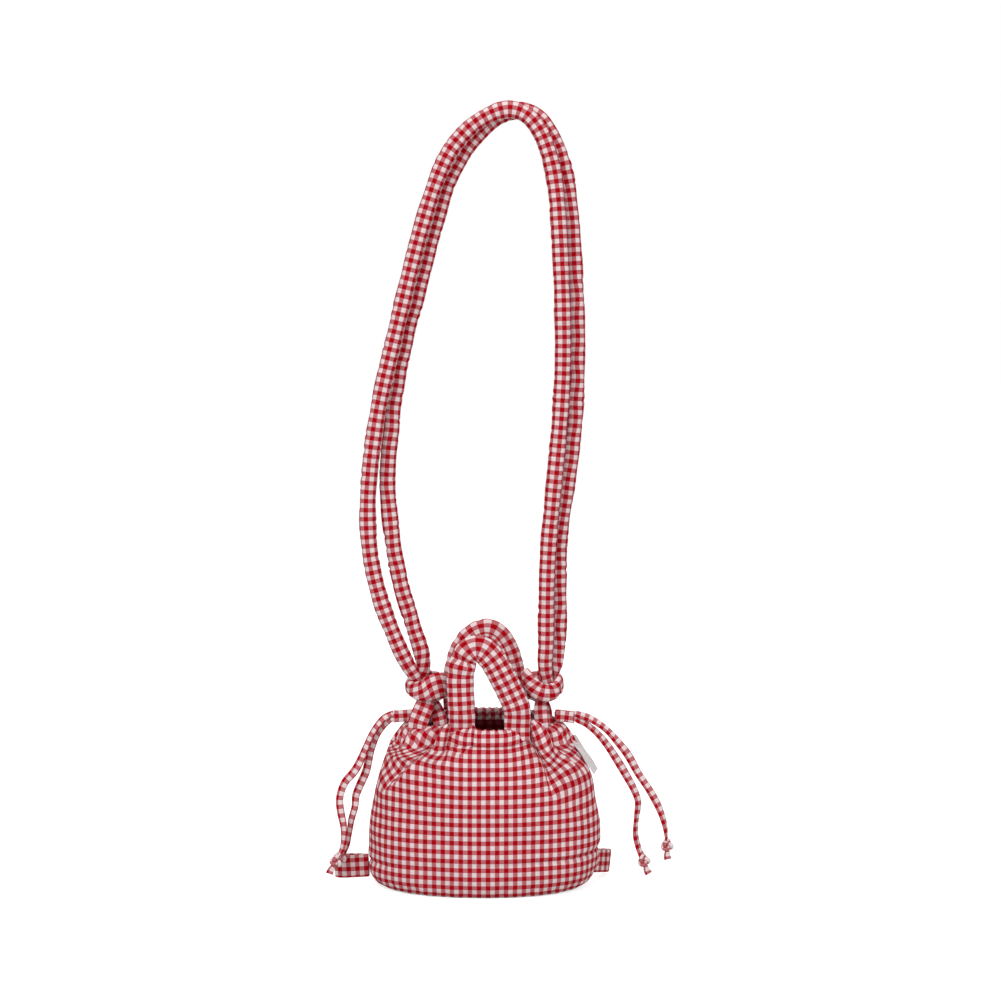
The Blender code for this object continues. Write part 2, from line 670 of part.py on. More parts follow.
def base_loop(name, degrees, heading):
    """Open ribbon loop that stands out from the side, low down.

    degrees says where on the side it is sewn, heading which way it points.
    """
    middle = LOOP_LOW_EDGE + 0.5 * LOOP_RIBBON_WIDTH
    root = wall_point(degrees, middle, 0.0)
    half_width, half_depth = girth(middle)
    normal = Vector((root.x / half_width ** 2, root.y / half_depth ** 2, 0.0)).normalized()
    out = Vector((math.cos(math.radians(heading)), math.sin(math.radians(heading)), 0.0))
    aside = Vector((-out.y, out.x, 0.0))
    slant = abs(aside.dot(normal)) / out.dot(normal)
    root += out * (1.5 * CLEARANCE + (LOOP_ROOT_GAP + 0.5 * LOOP_RIBBON_WALL) * slant)
    rows = (
        (0.0, LOOP_ROOT_GAP), (0.30, 0.62 * LOOP_HALF_GAP), (0.62, LOOP_HALF_GAP),
        (0.88, 0.75 * LOOP_HALF_GAP), (1.0, 0.0), (0.88, -0.75 * LOOP_HALF_GAP),
        (0.62, -LOOP_HALF_GAP), (0.30, -0.62 * LOOP_HALF_GAP), (0.0, -LOOP_ROOT_GAP),
    )
    points = [root + out * (LOOP_LENGTH * share) + aside * offset for share, offset in rows]
    path = [Vector((x, y, middle)) for x, y, _ in spline([list(p) for p in points], 0.006)]
    widths = [0.5 * LOOP_RIBBON_WIDTH] * len(path)
    return ribbon(name, path, Vector((0.0, 0.0, 1.0)), widths, LOOP_RIBBON_WALL, RED_CHECK)


def side_label():
    """Blank folded label, sewn into the right side seam at its top."""
    rows = 6
    path = []
    for i in range(rows + 1):
        share = i / rows
        height = LABEL_TOP - 0.84 * LABEL_LENGTH * share
        half_width, _ = girth(height)
        stand = 0.5 * LABEL_WALL + 2.0 * CLEARANCE + LABEL_LIFT * share ** 1.5
        path.append(Vector((half_width + stand, 0.5 * LABEL_WIDTH, height)))
    widths = [0.5 * LABEL_WIDTH] * len(path)
    return ribbon("side_label", path, Vector((0.0, 1.0, 0.0)), widths, LABEL_WALL, PALE_SATIN)


# Routes of the four drawcord tails, from inside the sleeve to the end knot
TAIL_ROUTES = {
    "tail_left_outer": ((-0.0960, -0.0062, 0.1747), (-0.1040, -0.0085, 0.1700), (-0.1130, -0.0100, 0.1585),
                        (-0.1200, -0.0110, 0.1435), (-0.1275, -0.0120, 0.1260), (-0.1335, -0.0130, 0.1165),
                        (-0.1410, -0.0140, 0.1080), (-0.1455, -0.0150, 0.0980), (-0.1470, -0.0160, 0.0880),
                        (-0.1455, -0.0170, 0.0760), (-0.1430, -0.0180, 0.0640), (-0.1425, -0.0190, 0.0520),
                        (-0.1440, -0.0195, 0.0420), (-0.1480, -0.0200, 0.0330)),
    "tail_left_inner": ((-0.0960, -0.0056, 0.1690), (-0.1020, -0.0040, 0.1635), (-0.1095, -0.0030, 0.1530),
                        (-0.1155, -0.0030, 0.1390), (-0.1185, -0.0030, 0.1270), (-0.1215, -0.0030, 0.1150),
                        (-0.1275, -0.0030, 0.1015), (-0.1315, -0.0032, 0.0910), (-0.1325, -0.0040, 0.0800),
                        (-0.1360, -0.0050, 0.0670), (-0.1380, -0.0060, 0.0540), (-0.1400, -0.0070, 0.0430),
                        (-0.1440, -0.0075, 0.0345)),
    "tail_right_outer": ((0.0930, -0.0060, 0.1745), (0.1050, -0.0060, 0.1700), (0.1200, -0.0060, 0.1600),
                         (0.1330, -0.0065, 0.1460), (0.1430, -0.0070, 0.1330), (0.1530, -0.0075, 0.1150),
                         (0.1650, -0.0080, 0.0970), (0.1745, -0.0085, 0.0790), (0.1800, -0.0090, 0.0620),
                         (0.1820, -0.0090, 0.0470)),
    "tail_right_inner": ((0.0920, -0.0060, 0.1685), (0.1000, -0.0058, 0.1650), (0.1110, -0.0050, 0.1560),
                         (0.1220, -0.0045, 0.1430), (0.1330, -0.0040, 0.1260), (0.1430, -0.0035, 0.1090),
                         (0.1500, -0.0030, 0.0955), (0.1535, -0.0025, 0.0840), (0.1520, -0.0020, 0.0680),
                         (0.1510, -0.0020, 0.0520), (0.1540, -0.0020, 0.0380), (0.1575, -0.0020, 0.0290)),
}


def drawcord_tail(name, route):
    """Free end of a drawcord: starts in the sleeve and ends at its knot."""
    side = -1.0 if "left" in name else 1.0
    level = 1.0 if "outer" in name else -1.0
    tip = SLEEVE_TIP_LEFT if side < 0.0 else SLEEVE_TIP_RIGHT
    height = SLEEVE_MIDDLE + level * TAIL_PITCH
    start = [(side * (tip - TAIL_START_DEPTH), SLEEVE_OFFSET_Y, height),
             (side * tip, SLEEVE_OFFSET_Y, height)]
    points = spline(start + list(route), TAIL_SPACING)
    tube(name, points, TAIL_RADIUS, 2, PINK_CHECK)
    return Vector(points[-1]), (Vector(points[-1]) - Vector(points[-2])).normalized()


def end_knot(name, start, along):
    """Tight knot and its short tail, turned round the line of the cord."""
    profile = (
        (0.45, 0.00), (0.92, 0.14), (1.00, 0.36), (0.80, 0.50), (0.98, 0.66), (0.82, 0.88),
        (0.42, 1.00),
    )
    side = along.cross(Vector((0.0, 1.0, 0.0))).normalized()
    deep = along.cross(side)
    rows = [(KNOT_RADIUS * r, KNOT_LENGTH * s) for r, s in profile]
    rows += [(0.40 * KNOT_RADIUS, KNOT_LENGTH + 0.5 * KNOT_STUB),
             (0.62 * KNOT_RADIUS, KNOT_LENGTH + KNOT_STUB)]
    origin = start + along * CLEARANCE
    rings = []
    for radius, reach in rows:
        ring = []
        for i in range(8):
            turn = math.tau * (i + 0.5) / 8.0
            ring.append(origin + along * reach + side * (radius * math.cos(turn))
                        + deep * (0.85 * radius * math.sin(turn)))
        rings.append(ring)
    bm = bmesh.new()
    loft(bm, rings)
    return solid(name, bm, PINK_CHECK)


def main():
    """Build every sub-part of the bag."""
    clear_scene()
    wall_panel("front_panel", 180.0, 360.0)
    wall_panel("back_panel", 0.0, 180.0)
    base_panel()
    lining()
    casing("casing_front", 180.0)
    casing("casing_back", 0.0)
    channel_cord("drawcord_left", -1, 1.0)
    channel_cord("drawcord_right", 1, -1.0)
    cord_sleeve("cord_sleeve_left", -1)
    cord_sleeve("cord_sleeve_right", 1)
    strap_tab("strap_tab_left", HITCH_LEFT, -1.0)
    strap_tab("strap_tab_right", HITCH_RIGHT, 1.0)
    shoulder_strap()
    grab_handle("handle_front", FRONT_HANDLE, False)
    grab_handle("handle_back", BACK_HANDLE, True)
    base_loop("base_loop_left", 177.0, 172.0)
    base_loop("base_loop_right", 12.0, 62.0)
    side_label()
    for name, route in TAIL_ROUTES.items():
        end, along = drawcord_tail(name, route)
        end_knot(name.replace("tail", "knot"), end, along)


main()
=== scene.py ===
"""Looks of a small gathered drawstring bag with padded handles and a long padded strap.

Metres, +Z up, the front of the bag towards -Y, as in the part's own frame. Every cloth
piece carries a UV map named Cloth that holds real distances on the cloth in metres, so
one check of the weave is the same size on all of them.
"""

import logging
import math
from collections.abc import Sequence
from dataclasses import dataclass, field
from enum import Enum

import bmesh
import bpy
import numpy as np
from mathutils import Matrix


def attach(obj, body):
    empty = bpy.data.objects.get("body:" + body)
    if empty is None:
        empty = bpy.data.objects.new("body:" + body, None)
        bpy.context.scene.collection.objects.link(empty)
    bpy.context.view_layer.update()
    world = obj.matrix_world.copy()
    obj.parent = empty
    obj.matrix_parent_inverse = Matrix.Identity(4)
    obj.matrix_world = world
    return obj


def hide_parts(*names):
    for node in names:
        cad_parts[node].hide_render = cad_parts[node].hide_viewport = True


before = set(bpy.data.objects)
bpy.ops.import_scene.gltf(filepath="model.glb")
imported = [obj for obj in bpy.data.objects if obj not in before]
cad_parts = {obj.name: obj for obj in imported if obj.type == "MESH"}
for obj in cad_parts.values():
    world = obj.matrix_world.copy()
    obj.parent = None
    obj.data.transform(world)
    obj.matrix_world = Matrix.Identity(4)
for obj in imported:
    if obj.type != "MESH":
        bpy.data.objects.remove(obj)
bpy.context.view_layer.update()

LOG = logging.getLogger("bag")
Array = np.ndarray
Colour = tuple[float, float, float]

UV_NAME = "Cloth"
RIM_HEIGHT = 0.1659
CASING_MIDDLE = 0.1571
SLEEVE_MIDDLE = 0.1729
SLEEVE_Y = -0.006
UPPER_WALL = (0.100, 0.052)
FLOOR_DROP = 0.0003


class Slot(Enum):
    """The record's material slots."""

    BODY = "body_check"
    STRAP = "strap_check"
    HANDLE = "handle_check"
    TRIM = "trim_check"
    LINING = "lining"
    CORD = "cord"
    LABEL = "label"


class Side(Enum):
    """Left and right of the bag as it is drawn; the value is the sign of X."""

    LEFT = -1
    RIGHT = 1

    @property
    def word(self) -> str:
        """The side's name in piece names."""
        return self.name.lower()


# arrays and meshes


def ease(value: Array | float) -> Array:
    """Smooth step: 3x^2 - 2x^3 of the value held between 0 and 1."""
    held = np.clip(value, 0.0, 1.0)
    return held * held * (3.0 - 2.0 * held)


def bell(value: Array) -> Array:
    """Bell curve: e to the minus x squared."""
    return np.exp(-value * value)


def unit(vectors: Array) -> Array:
    """Each row divided by its own length."""
    return vectors / np.maximum(np.linalg.norm(vectors, axis=-1, keepdims=True), 1e-12)


def travelled(points: Array) -> Array:
    """Distance covered up to each point of a path, starting at 0."""
    steps = np.linalg.norm(np.diff(points[:, :3], axis=0), axis=1)
    return np.concatenate([[0.0], np.cumsum(steps)])


def smooth_path(points: Sequence[Sequence[float]], step: float, closed: bool = False) -> Array:
    """Even stations along a Catmull-Rom curve through the given points.

    The curve is the uniform Catmull-Rom cubic. It is sampled finely, then read again at
    equal distances. Columns after the first three are carried along.

    Args:
        points: rows whose first three values are a place.
        step: wanted distance between stations.
        closed: whether the curve returns to its first point.

    Returns:
        The stations, one row each. A closed curve's first row isn't repeated.
    """
    knots = np.asarray(points, float)
    count = len(knots)
    spans = count if closed else count - 1
    t = np.linspace(0.0, spans, spans * 24 + 1)
    i = np.minimum(t.astype(int), spans - 1)
    f = (t - i)[:, None]
    shift = [i + k for k in (-1, 0, 1, 2)]
    index = [s % count if closed else np.clip(s, 0, count - 1) for s in shift]
    a, b, c, d = (knots[k] for k in index)
    fine = 0.5 * (2.0 * b + (c - a) * f + (2.0 * a - 5.0 * b + 4.0 * c - d) * f**2
                  + (3.0 * b - a - 3.0 * c + d) * f**3)
    way = travelled(fine)
    pieces = max(2, round(way[-1] / step))
    stations = np.linspace(0.0, way[-1], pieces + 1)
    if closed:
        stations = stations[:-1]
    return np.column_stack([np.interp(stations, way, column) for column in fine.T])


def oval_section(count: int, squareness: float, start: float = math.pi) -> Array:
    """Unit section as (thickness, width) rows.

    The points lie on the rounded oval |x|^n + |y|^n = 1, with n the squareness.

    Args:
        count: number of points.
        squareness: 2 for an ellipse, more for squarer corners.
        start: angle of the first point in radians; pi is the middle of the back face.

    Returns:
        The points, one row each.
    """
    turn = math.tau * (np.arange(count) + 0.5) / count + start
    power = 2.0 / squareness
    return np.column_stack([
        np.sign(np.cos(turn)) * np.abs(np.cos(turn)) ** power,
        np.sign(np.sin(turn)) * np.abs(np.sin(turn)) ** power,
    ])


@dataclass
class Sweep:
    """A section carried along a path.

    Attributes:
        stations: rows of centre (3), facing (3), half thickness, half width.
        section: unit section as (thickness, width) rows.
        closed: whether the path returns to its start.
    """

    stations: Array
    section: Array
    closed: bool = False

    def axes(self) -> tuple[Array, Array, Array]:
        """Work out the frame of each station.

        Returns:
            Unit vectors along the path, out of the flat side, and across.
        """
        centre = self.stations[:, :3]
        ahead = np.roll(centre, -1, axis=0)
        behind = np.roll(centre, 1, axis=0)
        if not self.closed:
            ahead[-1] = centre[-1]
            behind[0] = centre[0]
        along = unit(ahead - behind)
        facing = self.stations[:, 3:6]
        facing = unit(facing - along * np.sum(facing * along, axis=1, keepdims=True))
        return along, facing, np.cross(along, facing)

    def grid(self, swell: Array | None = None) -> Array:
        """Points of the swept surface, stations by section.

        A point is centre + facing * thickness * s0 + across * width * s1.

        Args:
            swell: how far each point moves outwards in the plane of its ring, metres.

        Returns:
            An array of stations by section points by 3.
        """
        _, facing, across = self.axes()
        thick = self.stations[:, 6:7] * self.section[None, :, 0]
        wide = self.stations[:, 7:8] * self.section[None, :, 1]
        offset = facing[:, None] * thick[..., None] + across[:, None] * wide[..., None]
        if swell is not None:
            offset = offset + unit(offset) * swell[..., None]
        return self.stations[:, None, :3] + offset

    def cloth(self, start: float = 0.0) -> Array:
        """UV of the surface: distance round each ring from its front, and along the path.

        Args:
            start: distance round the ring that its front has.

        Returns:
            An array of stations by section points by 2, one more each way where it wraps.
        """
        points = self.grid()
        ring = np.concatenate([points, points[:, :1]], axis=1)
        steps = np.linalg.norm(np.diff(ring, axis=1), axis=2)
        round_it = np.concatenate([np.zeros((len(ring), 1)), np.cumsum(steps, axis=1)], axis=1)
        front = int(np.argmax(self.section[:, 0]))
        round_it = round_it - round_it[:, front:front + 1] + start
        path = self.stations
        if self.closed:
            path = np.concatenate([path, path[:1]])
            round_it = np.concatenate([round_it, round_it[:1]])
        way = travelled(path)
        return np.stack(np.broadcast_arrays(round_it, way[:, None]), axis=-1)


@dataclass(frozen=True)
class Pinches:
    """Short creases scattered over a padded tube.

    Attributes:
        spacing: mean distance between creases along the tube.
        depth: deepest crease.
        width: half width of a crease along the tube.
        seed: seed of the scatter.
    """

    spacing: float
    depth: float
    width: float
    seed: int

    def swell(self, way: Array, count: int, whole: float) -> Array:
        """Height of the creased surface over the plain one, stations by section.

        Each crease k takes away depth_k * bell((s - s_k - lean_k * sin(a - a_k)) / width_k)
        times a broad bell round the tube, and gives half of it back beside the crease.

        Args:
            way: distance along the tube of each station.
            count: points round the section.
            whole: length of the tube.

        Returns:
            An array of stations by section points, metres.
        """
        draw = np.random.default_rng(self.seed)
        number = max(1, round(whole / self.spacing))
        place = (np.arange(number) + draw.uniform(0.1, 0.9, number)) * whole / number
        angle = draw.uniform(0.0, math.tau, number)
        deep = self.depth * draw.uniform(0.35, 1.0, number)
        width = self.width * draw.uniform(0.7, 1.6, number)
        lean = draw.normal(0.0, 0.0022, number)
        turn = math.tau * (np.arange(count) + 0.5) / count + math.pi
        out = np.zeros((len(way), count))
        for k in range(number):
            away = way - place[k]
            away = (away + 0.5 * whole) % whole - 0.5 * whole
            near = np.abs(away) < 6.0 * width[k] + 0.005
            x = (away[near, None] - lean[k] * np.sin(turn - angle[k])[None, :]) / width[k]
            patch = (0.5 + 0.5 * np.cos(turn - angle[k])) ** 1.5
            out[near] -= deep[k] * patch * (bell(x) - 0.45 * bell((np.abs(x) - 2.1) / 1.1))
        return out


def grid_faces(rows: int, columns: int, wrap_rows: bool, wrap_columns: bool) -> tuple[Array, Array]:
    """Quads of a grid, as vertex indices and as indices into its UV grid.

    Args:
        rows: rows of points.
        columns: columns of points.
        wrap_rows: whether the last row joins the first.
        wrap_columns: whether the last column joins the first.

    Returns:
        Two arrays of quads by 4.
    """
    r, c = np.meshgrid(np.arange(rows - 1 + wrap_rows), np.arange(columns - 1 + wrap_columns),
                       indexing="ij")
    corners = ((r, c), (r, c + 1), (r + 1, c + 1), (r + 1, c))
    vertex = np.stack([(a % rows) * columns + b % columns for a, b in corners], axis=-1)
    uv = np.stack([a * (columns + wrap_columns) + b for a, b in corners], axis=-1)
    return vertex.reshape(-1, 4), uv.reshape(-1, 4)


@dataclass
class Patch:
    """One grid of points with its UV, to be joined with others into a piece.

    Attributes:
        points: rows by columns by 3.
        uv: one more row or column than points where the grid wraps.
        wrap_rows: whether the last row joins the first.
        wrap_columns: whether the last column joins the first.
        capped: whether the first and last rows are closed with a face.
    """

    points: Array
    uv: Array
    wrap_rows: bool = False
    wrap_columns: bool = False
    capped: bool = False


def new_piece(name: str, patches: Sequence[Patch], closed: bool = True,
              sharp_degrees: float = 0.0) -> bpy.types.Object:
    """Make one mesh object from grids.

    Args:
        name: the piece's name.
        patches: the grids.
        closed: whether the surface is closed, so that its normals can be worked out.
        sharp_degrees: angle above which an edge is sharp, or 0 for none.

    Returns:
        The object, linked to the scene.
    """
    vertices: list[Array] = []
    faces: list[list[int]] = []
    coordinates: list[Array] = []
    base = 0
    for patch in patches:
        rows, columns = patch.points.shape[:2]
        quads, uv = grid_faces(rows, columns, patch.wrap_rows, patch.wrap_columns)
        flat_uv = patch.uv.reshape(-1, 2)
        vertices.append(patch.points.reshape(-1, 3))
        faces.extend((quads + base).tolist())
        coordinates.append(flat_uv[uv.ravel()])
        if patch.capped:
            first = np.arange(columns)
            last = first + (rows - 1) * columns
            wide = patch.uv.shape[1]
            for ring, shift in ((first, 0), (last, (rows - 1) * wide)):
                faces.append((ring + base).tolist())
                coordinates.append(flat_uv[np.arange(columns) + shift])
        base += rows * columns
    mesh = bpy.data.meshes.new(name)
    mesh.from_pydata(np.concatenate(vertices).tolist(), [], faces)
    layer = mesh.uv_layers.new(name=UV_NAME)
    layer.data.foreach_set("uv", np.concatenate(coordinates).astype(np.float32).ravel())
    if closed:
        work = bmesh.new()
        work.from_mesh(mesh)
        bmesh.ops.recalc_face_normals(work, faces=work.faces[:])
        work.to_mesh(mesh)
        work.free()
    mesh.shade_smooth()
    if sharp_degrees:
        mesh.set_sharp_from_angle(angle=math.radians(sharp_degrees))
    mesh.update()
    item = bpy.data.objects.new(name, mesh)
    bpy.context.collection.objects.link(item)
    return item


def dress(item: bpy.types.Object, finish: bpy.types.Material, slot: Slot,
          nodes: Sequence[str]) -> bpy.types.Object:
    """Give a piece its finish and its body, hide the CAD nodes it stands for and log its slot.

    Args:
        item: the piece.
        finish: its material.
        slot: the record's material slot.
        nodes: names of the CAD nodes that it replaces.

    Returns:
        The same piece.
    """
    item.data.materials.append(finish)
    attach(item, "root")
    if nodes:
        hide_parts(*nodes)
    LOG.info("%s: %d faces, %s", item.name, len(item.data.polygons), slot.value)
    return item


# finishes


class NodeBoard:
    """Short ways to add nodes to one material."""

    def __init__(self, name: str) -> None:
        """Start a material that holds a Principled shader.

        Args:
            name: the material's name.
        """
        self.material = bpy.data.materials.new(name)
        self.material.use_nodes = True
        self.tree = self.material.node_tree
        self.shader = self.tree.nodes["Principled BSDF"]

    def node(self, kind: str, **values: object) -> bpy.types.Node:
        """Add a node and set its own properties.

        Args:
            kind: the node's type.
            values: its properties by name.

        Returns:
            The node.
        """
        made = self.tree.nodes.new(kind)
        for key, value in values.items():
            setattr(made, key, value)
        return made

    def feed(self, socket: bpy.types.NodeSocket, value: object) -> None:
        """Link a socket, or set its value.

        Args:
            socket: an input.
            value: an output to link, or a plain value.
        """
        if isinstance(value, bpy.types.NodeSocket):
            self.tree.links.new(value, socket)
        else:
            socket.default_value = value

    def math(self, operation: str, a: object, b: object = 0.0, c: object = 0.0,
             clamp: bool = False) -> bpy.types.NodeSocket:
        """Add one math node.

        Args:
            operation: its operation.
            a: first input.
            b: second input.
            c: third input.
            clamp: whether the result is held between 0 and 1.

        Returns:
            Its result.
        """
        made = self.node("ShaderNodeMath", operation=operation, use_clamp=clamp)
        for socket, value in zip(made.inputs, (a, b, c)):
            self.feed(socket, value)
        return made.outputs[0]

    def blend(self, share: object, low: object, high: object) -> bpy.types.NodeSocket:
        """Colour between low and high.

        Args:
            share: 0 for low, 1 for high.
            low: first colour.
            high: second colour.

        Returns:
            The mixed colour.
        """
        made = self.node("ShaderNodeMix", data_type="RGBA")
        self.feed(made.inputs["Factor"], share)
        self.feed(made.inputs[6], low)
        self.feed(made.inputs[7], high)
        return made.outputs[2]

    def noise(self, scale: float, detail: float) -> bpy.types.NodeSocket:
        """Noise between 0 and 1 over object coordinates.

        Args:
            scale: features to a metre.
            detail: octaves.

        Returns:
            The noise.
        """
        made = self.node("ShaderNodeTexNoise")
        made.inputs["Scale"].default_value = scale
        made.inputs["Detail"].default_value = detail
        place = self.node("ShaderNodeTexCoord").outputs["Object"]
        self.tree.links.new(place, made.inputs["Vector"])
        return made.outputs[0]

    def bump(self, height: bpy.types.NodeSocket, strength: float, distance: float) -> None:
        """Raise the surface by height times distance.

        Args:
            height: the relief.
            strength: share of its effect.
            distance: metres to a height of 1.
        """
        made = self.node("ShaderNodeBump")
        made.inputs["Strength"].default_value = strength
        made.inputs["Distance"].default_value = distance
        self.tree.links.new(height, made.inputs["Height"])
        self.tree.links.new(made.outputs[0], self.shader.inputs["Normal"])


def rgba(colour: Colour) -> tuple[float, float, float, float]:
    """The colour with full alpha."""
    return (*colour, 1.0)


@dataclass(frozen=True)
class Gingham:
    """Woven check: dyed and white yarn in equal stripes both ways.

    Attributes:
        name: the material's name.
        dyed: colour where both yarns are dyed.
        half: colour where one yarn is dyed.
        plain: colour where neither is.
        check: width of one stripe, metres.
        thread: width of a pair of threads, metres.
        steepness: how sharply a stripe's edge turns from plain to dyed.
        thread_share: how far single threads show in the half tone.
        slub_share: how far uneven yarn changes the tone.
        roughness: of the cloth.
        specular: level of its highlight.
        relief: height of the weave, metres.
    """

    name: str
    dyed: Colour = (0.400, 0.0004, 0.0050)
    half: Colour = (0.505, 0.138, 0.160)
    plain: Colour = (0.815, 0.690, 0.685)
    check: float = 0.00448
    thread: float = 0.00150
    steepness: float = 4.0
    thread_share: float = 0.10
    slub_share: float = 0.16
    roughness: float = 0.88
    specular: float = 0.05
    relief: float = 0.00012

    def make(self) -> bpy.types.Material:
        """Build the material.

        A stripe's share is 0.5 + steepness * sin(pi x / check), held between 0 and 1. The
        shares of both directions add up to 0 for plain, 1 for half and 2 for dyed. Threads
        show as faint lines along whichever yarn is dyed by itself.

        Returns:
            The material.
        """
        board = NodeBoard(self.name)
        place = board.node("ShaderNodeUVMap", uv_map=UV_NAME)
        split = board.node("ShaderNodeSeparateXYZ")
        board.tree.links.new(place.outputs["UV"], split.inputs[0])
        stripes = []
        lines = []
        for k in range(2):
            along = split.outputs[k]
            wave = board.math("SINE", board.math("MULTIPLY", along, math.pi / self.check))
            stripes.append(board.math("MULTIPLY_ADD", wave, self.steepness, 0.5, clamp=True))
            lines.append(board.math("SINE", board.math("MULTIPLY", along,
                                                       math.tau / self.thread)))
        both = board.math("MULTIPLY", stripes[0], stripes[1])
        total = board.math("ADD", stripes[0], stripes[1])
        ripple = board.math("ADD",
                            board.math("MULTIPLY", board.math("SUBTRACT", stripes[0], both),
                                       lines[0]),
                            board.math("MULTIPLY", board.math("SUBTRACT", stripes[1], both),
                                       lines[1]))
        total = board.math("MULTIPLY_ADD", ripple, self.thread_share, total)
        slub = board.noise(340.0, 1.0)
        total = board.math("ADD", total, board.math("MULTIPLY_ADD", slub, self.slub_share,
                                                    -0.5 * self.slub_share))
        low = board.blend(board.math("MINIMUM", board.math("MAXIMUM", total, 0.0), 1.0),
                          rgba(self.plain), rgba(self.half))
        high = board.blend(board.math("SUBTRACT", total, 1.0, clamp=True), low,
                           rgba(self.dyed))
        board.feed(board.shader.inputs["Base Color"], high)
        board.shader.inputs["Roughness"].default_value = self.roughness
        board.shader.inputs["Specular IOR Level"].default_value = self.specular
        weave = board.math("ADD", board.math("MULTIPLY", lines[0], lines[1]),
                           board.noise(900.0, 2.0))
        board.bump(weave, 0.25, self.relief)
        return board.material


@dataclass(frozen=True)
class Satin:
    """Pale satin ribbon with fine cross threads.

    Attributes:
        name: the material's name.
        colour: the ribbon's colour.
        rib: distance between cross threads, metres.
        darkest: share of the colour where it is darkest.
    """

    name: str
    colour: Colour = (0.640, 0.590, 0.590)
    rib: float = 0.0007
    darkest: float = 0.90

    def make(self) -> bpy.types.Material:
        """Build the material: a soft gloss over a faint cross rib.

        Returns:
            The material.
        """
        board = NodeBoard(self.name)
        place = board.node("ShaderNodeUVMap", uv_map=UV_NAME)
        split = board.node("ShaderNodeSeparateXYZ")
        board.tree.links.new(place.outputs["UV"], split.inputs[0])
        rib = board.math("SINE", board.math("MULTIPLY", split.outputs[1], math.tau / self.rib))
        shade = board.math("MULTIPLY_ADD", board.noise(60.0, 2.0), 0.12, 0.44)
        dark = tuple(self.darkest * value for value in self.colour)
        board.feed(board.shader.inputs["Base Color"],
                   board.blend(shade, rgba(dark), rgba(self.colour)))
        board.shader.inputs["Roughness"].default_value = 0.38
        board.shader.inputs["Sheen Weight"].default_value = 0.10
        board.bump(rib, 0.15, 0.00008)
        return board.material


# bag body


@dataclass(frozen=True)
class Fold:
    """One gather of the body cloth.

    Attributes:
        top: degrees round the bag from +X where it crosses the seam of the casing.
        low: degrees where it fades out.
        fade: height at which it has faded out.
        depth: depth of the valley at the seam.
        width: half width of the valley at the seam.
        lap: sideways lean of the valley in depths, positive towards greater degrees.
        skew: how much steeper the side towards greater degrees is than the other one.
        beyond: 1 where the turned cloth lies towards greater degrees, else -1.
    """

    top: float
    low: float
    fade: float
    depth: float
    width: float = 0.0046
    lap: float = 0.0
    skew: float = 0.0
    turn: float = 0.0
    beyond: int = 1


@dataclass(frozen=True)
class Lobe:
    """A puff of cloth between two gathers, as a bell in degrees and height.

    Attributes:
        degrees: middle of the puff round the bag, at its own height.
        lean: degrees by which its middle moves for each millimetre up.
        height: height of its middle.
        half_degrees: half its breadth.
        half_height: half its height.
        rise: how far it stands out, metres.
    """

    degrees: float
    lean: float
    height: float
    half_degrees: float
    half_height: float
    rise: float


FOLDS = (
    Fold(235.0, 204.0, 0.098, 0.0210, 0.0062, 0.30, 0.85, 34.0, -1),
    Fold(249.0, 252.0, 0.127, 0.0115, 0.0044, -0.25, -0.75),
    Fold(262.5, 251.0, 0.136, 0.0040, 0.0026, 0.25, 0.60),
    Fold(297.5, 306.0, 0.098, 0.0200, 0.0058, 0.30, 0.70, -24.0, 1),
    Fold(321.0, 345.0, 0.114, 0.0110, 0.0050, -0.40, -0.60),
    Fold(340.0, 352.0, 0.120, 0.0040, 0.0040, -0.30),
    Fold(352.0, 356.0, 0.116, 0.0030, 0.0040, 0.30),
    Fold(203.0, 187.0, 0.114, 0.0045, 0.0044, 0.40),
    Fold(218.0, 200.0, 0.130, 0.0034, 0.0034, 0.20),
    Fold(187.0, 182.0, 0.120, 0.0030, 0.0042, 0.20),
    Fold(10.0, 6.0, 0.116, 0.0030, 0.0042, -0.30),
    Fold(26.0, 18.0, 0.108, 0.0050, 0.0044, 0.40, 0.5),
    Fold(43.0, 33.0, 0.100, 0.0140, 0.0050, 0.30, 0.7, 26.0, -1),
    Fold(62.0, 59.0, 0.112, 0.0080, 0.0042, -0.20, -0.5),
    Fold(76.0, 75.0, 0.126, 0.0034, 0.0034, 0.0),
    Fold(104.0, 105.0, 0.128, 0.0034, 0.0034, 0.0),
    Fold(118.0, 121.0, 0.112, 0.0080, 0.0042, 0.20, 0.5),
    Fold(137.0, 147.0, 0.100, 0.0140, 0.0050, -0.30, -0.7, -26.0, 1),
    Fold(154.0, 162.0, 0.108, 0.0050, 0.0044, -0.40, -0.5),
    Fold(170.0, 174.0, 0.116, 0.0030, 0.0042, 0.30),
)
LOBES = (
    Lobe(219.0, -0.36, 0.137, 9.5, 0.021, 0.0062),
    Lobe(241.5, -0.06, 0.146, 5.5, 0.016, 0.0058),
    Lobe(254.5, 0.0, 0.135, 4.5, 0.006, 0.0022),
    Lobe(306.5, 0.32, 0.142, 8.0, 0.025, 0.0074),
    Lobe(331.0, 0.20, 0.140, 7.0, 0.018, 0.0036),
    Lobe(34.0, 0.0, 0.140, 7.0, 0.022, 0.0040),
    Lobe(52.0, 0.0, 0.142, 6.5, 0.020, 0.0044),
    Lobe(128.0, 0.0, 0.142, 6.5, 0.020, 0.0044),
    Lobe(146.0, 0.0, 0.140, 7.0, 0.022, 0.0040),
)
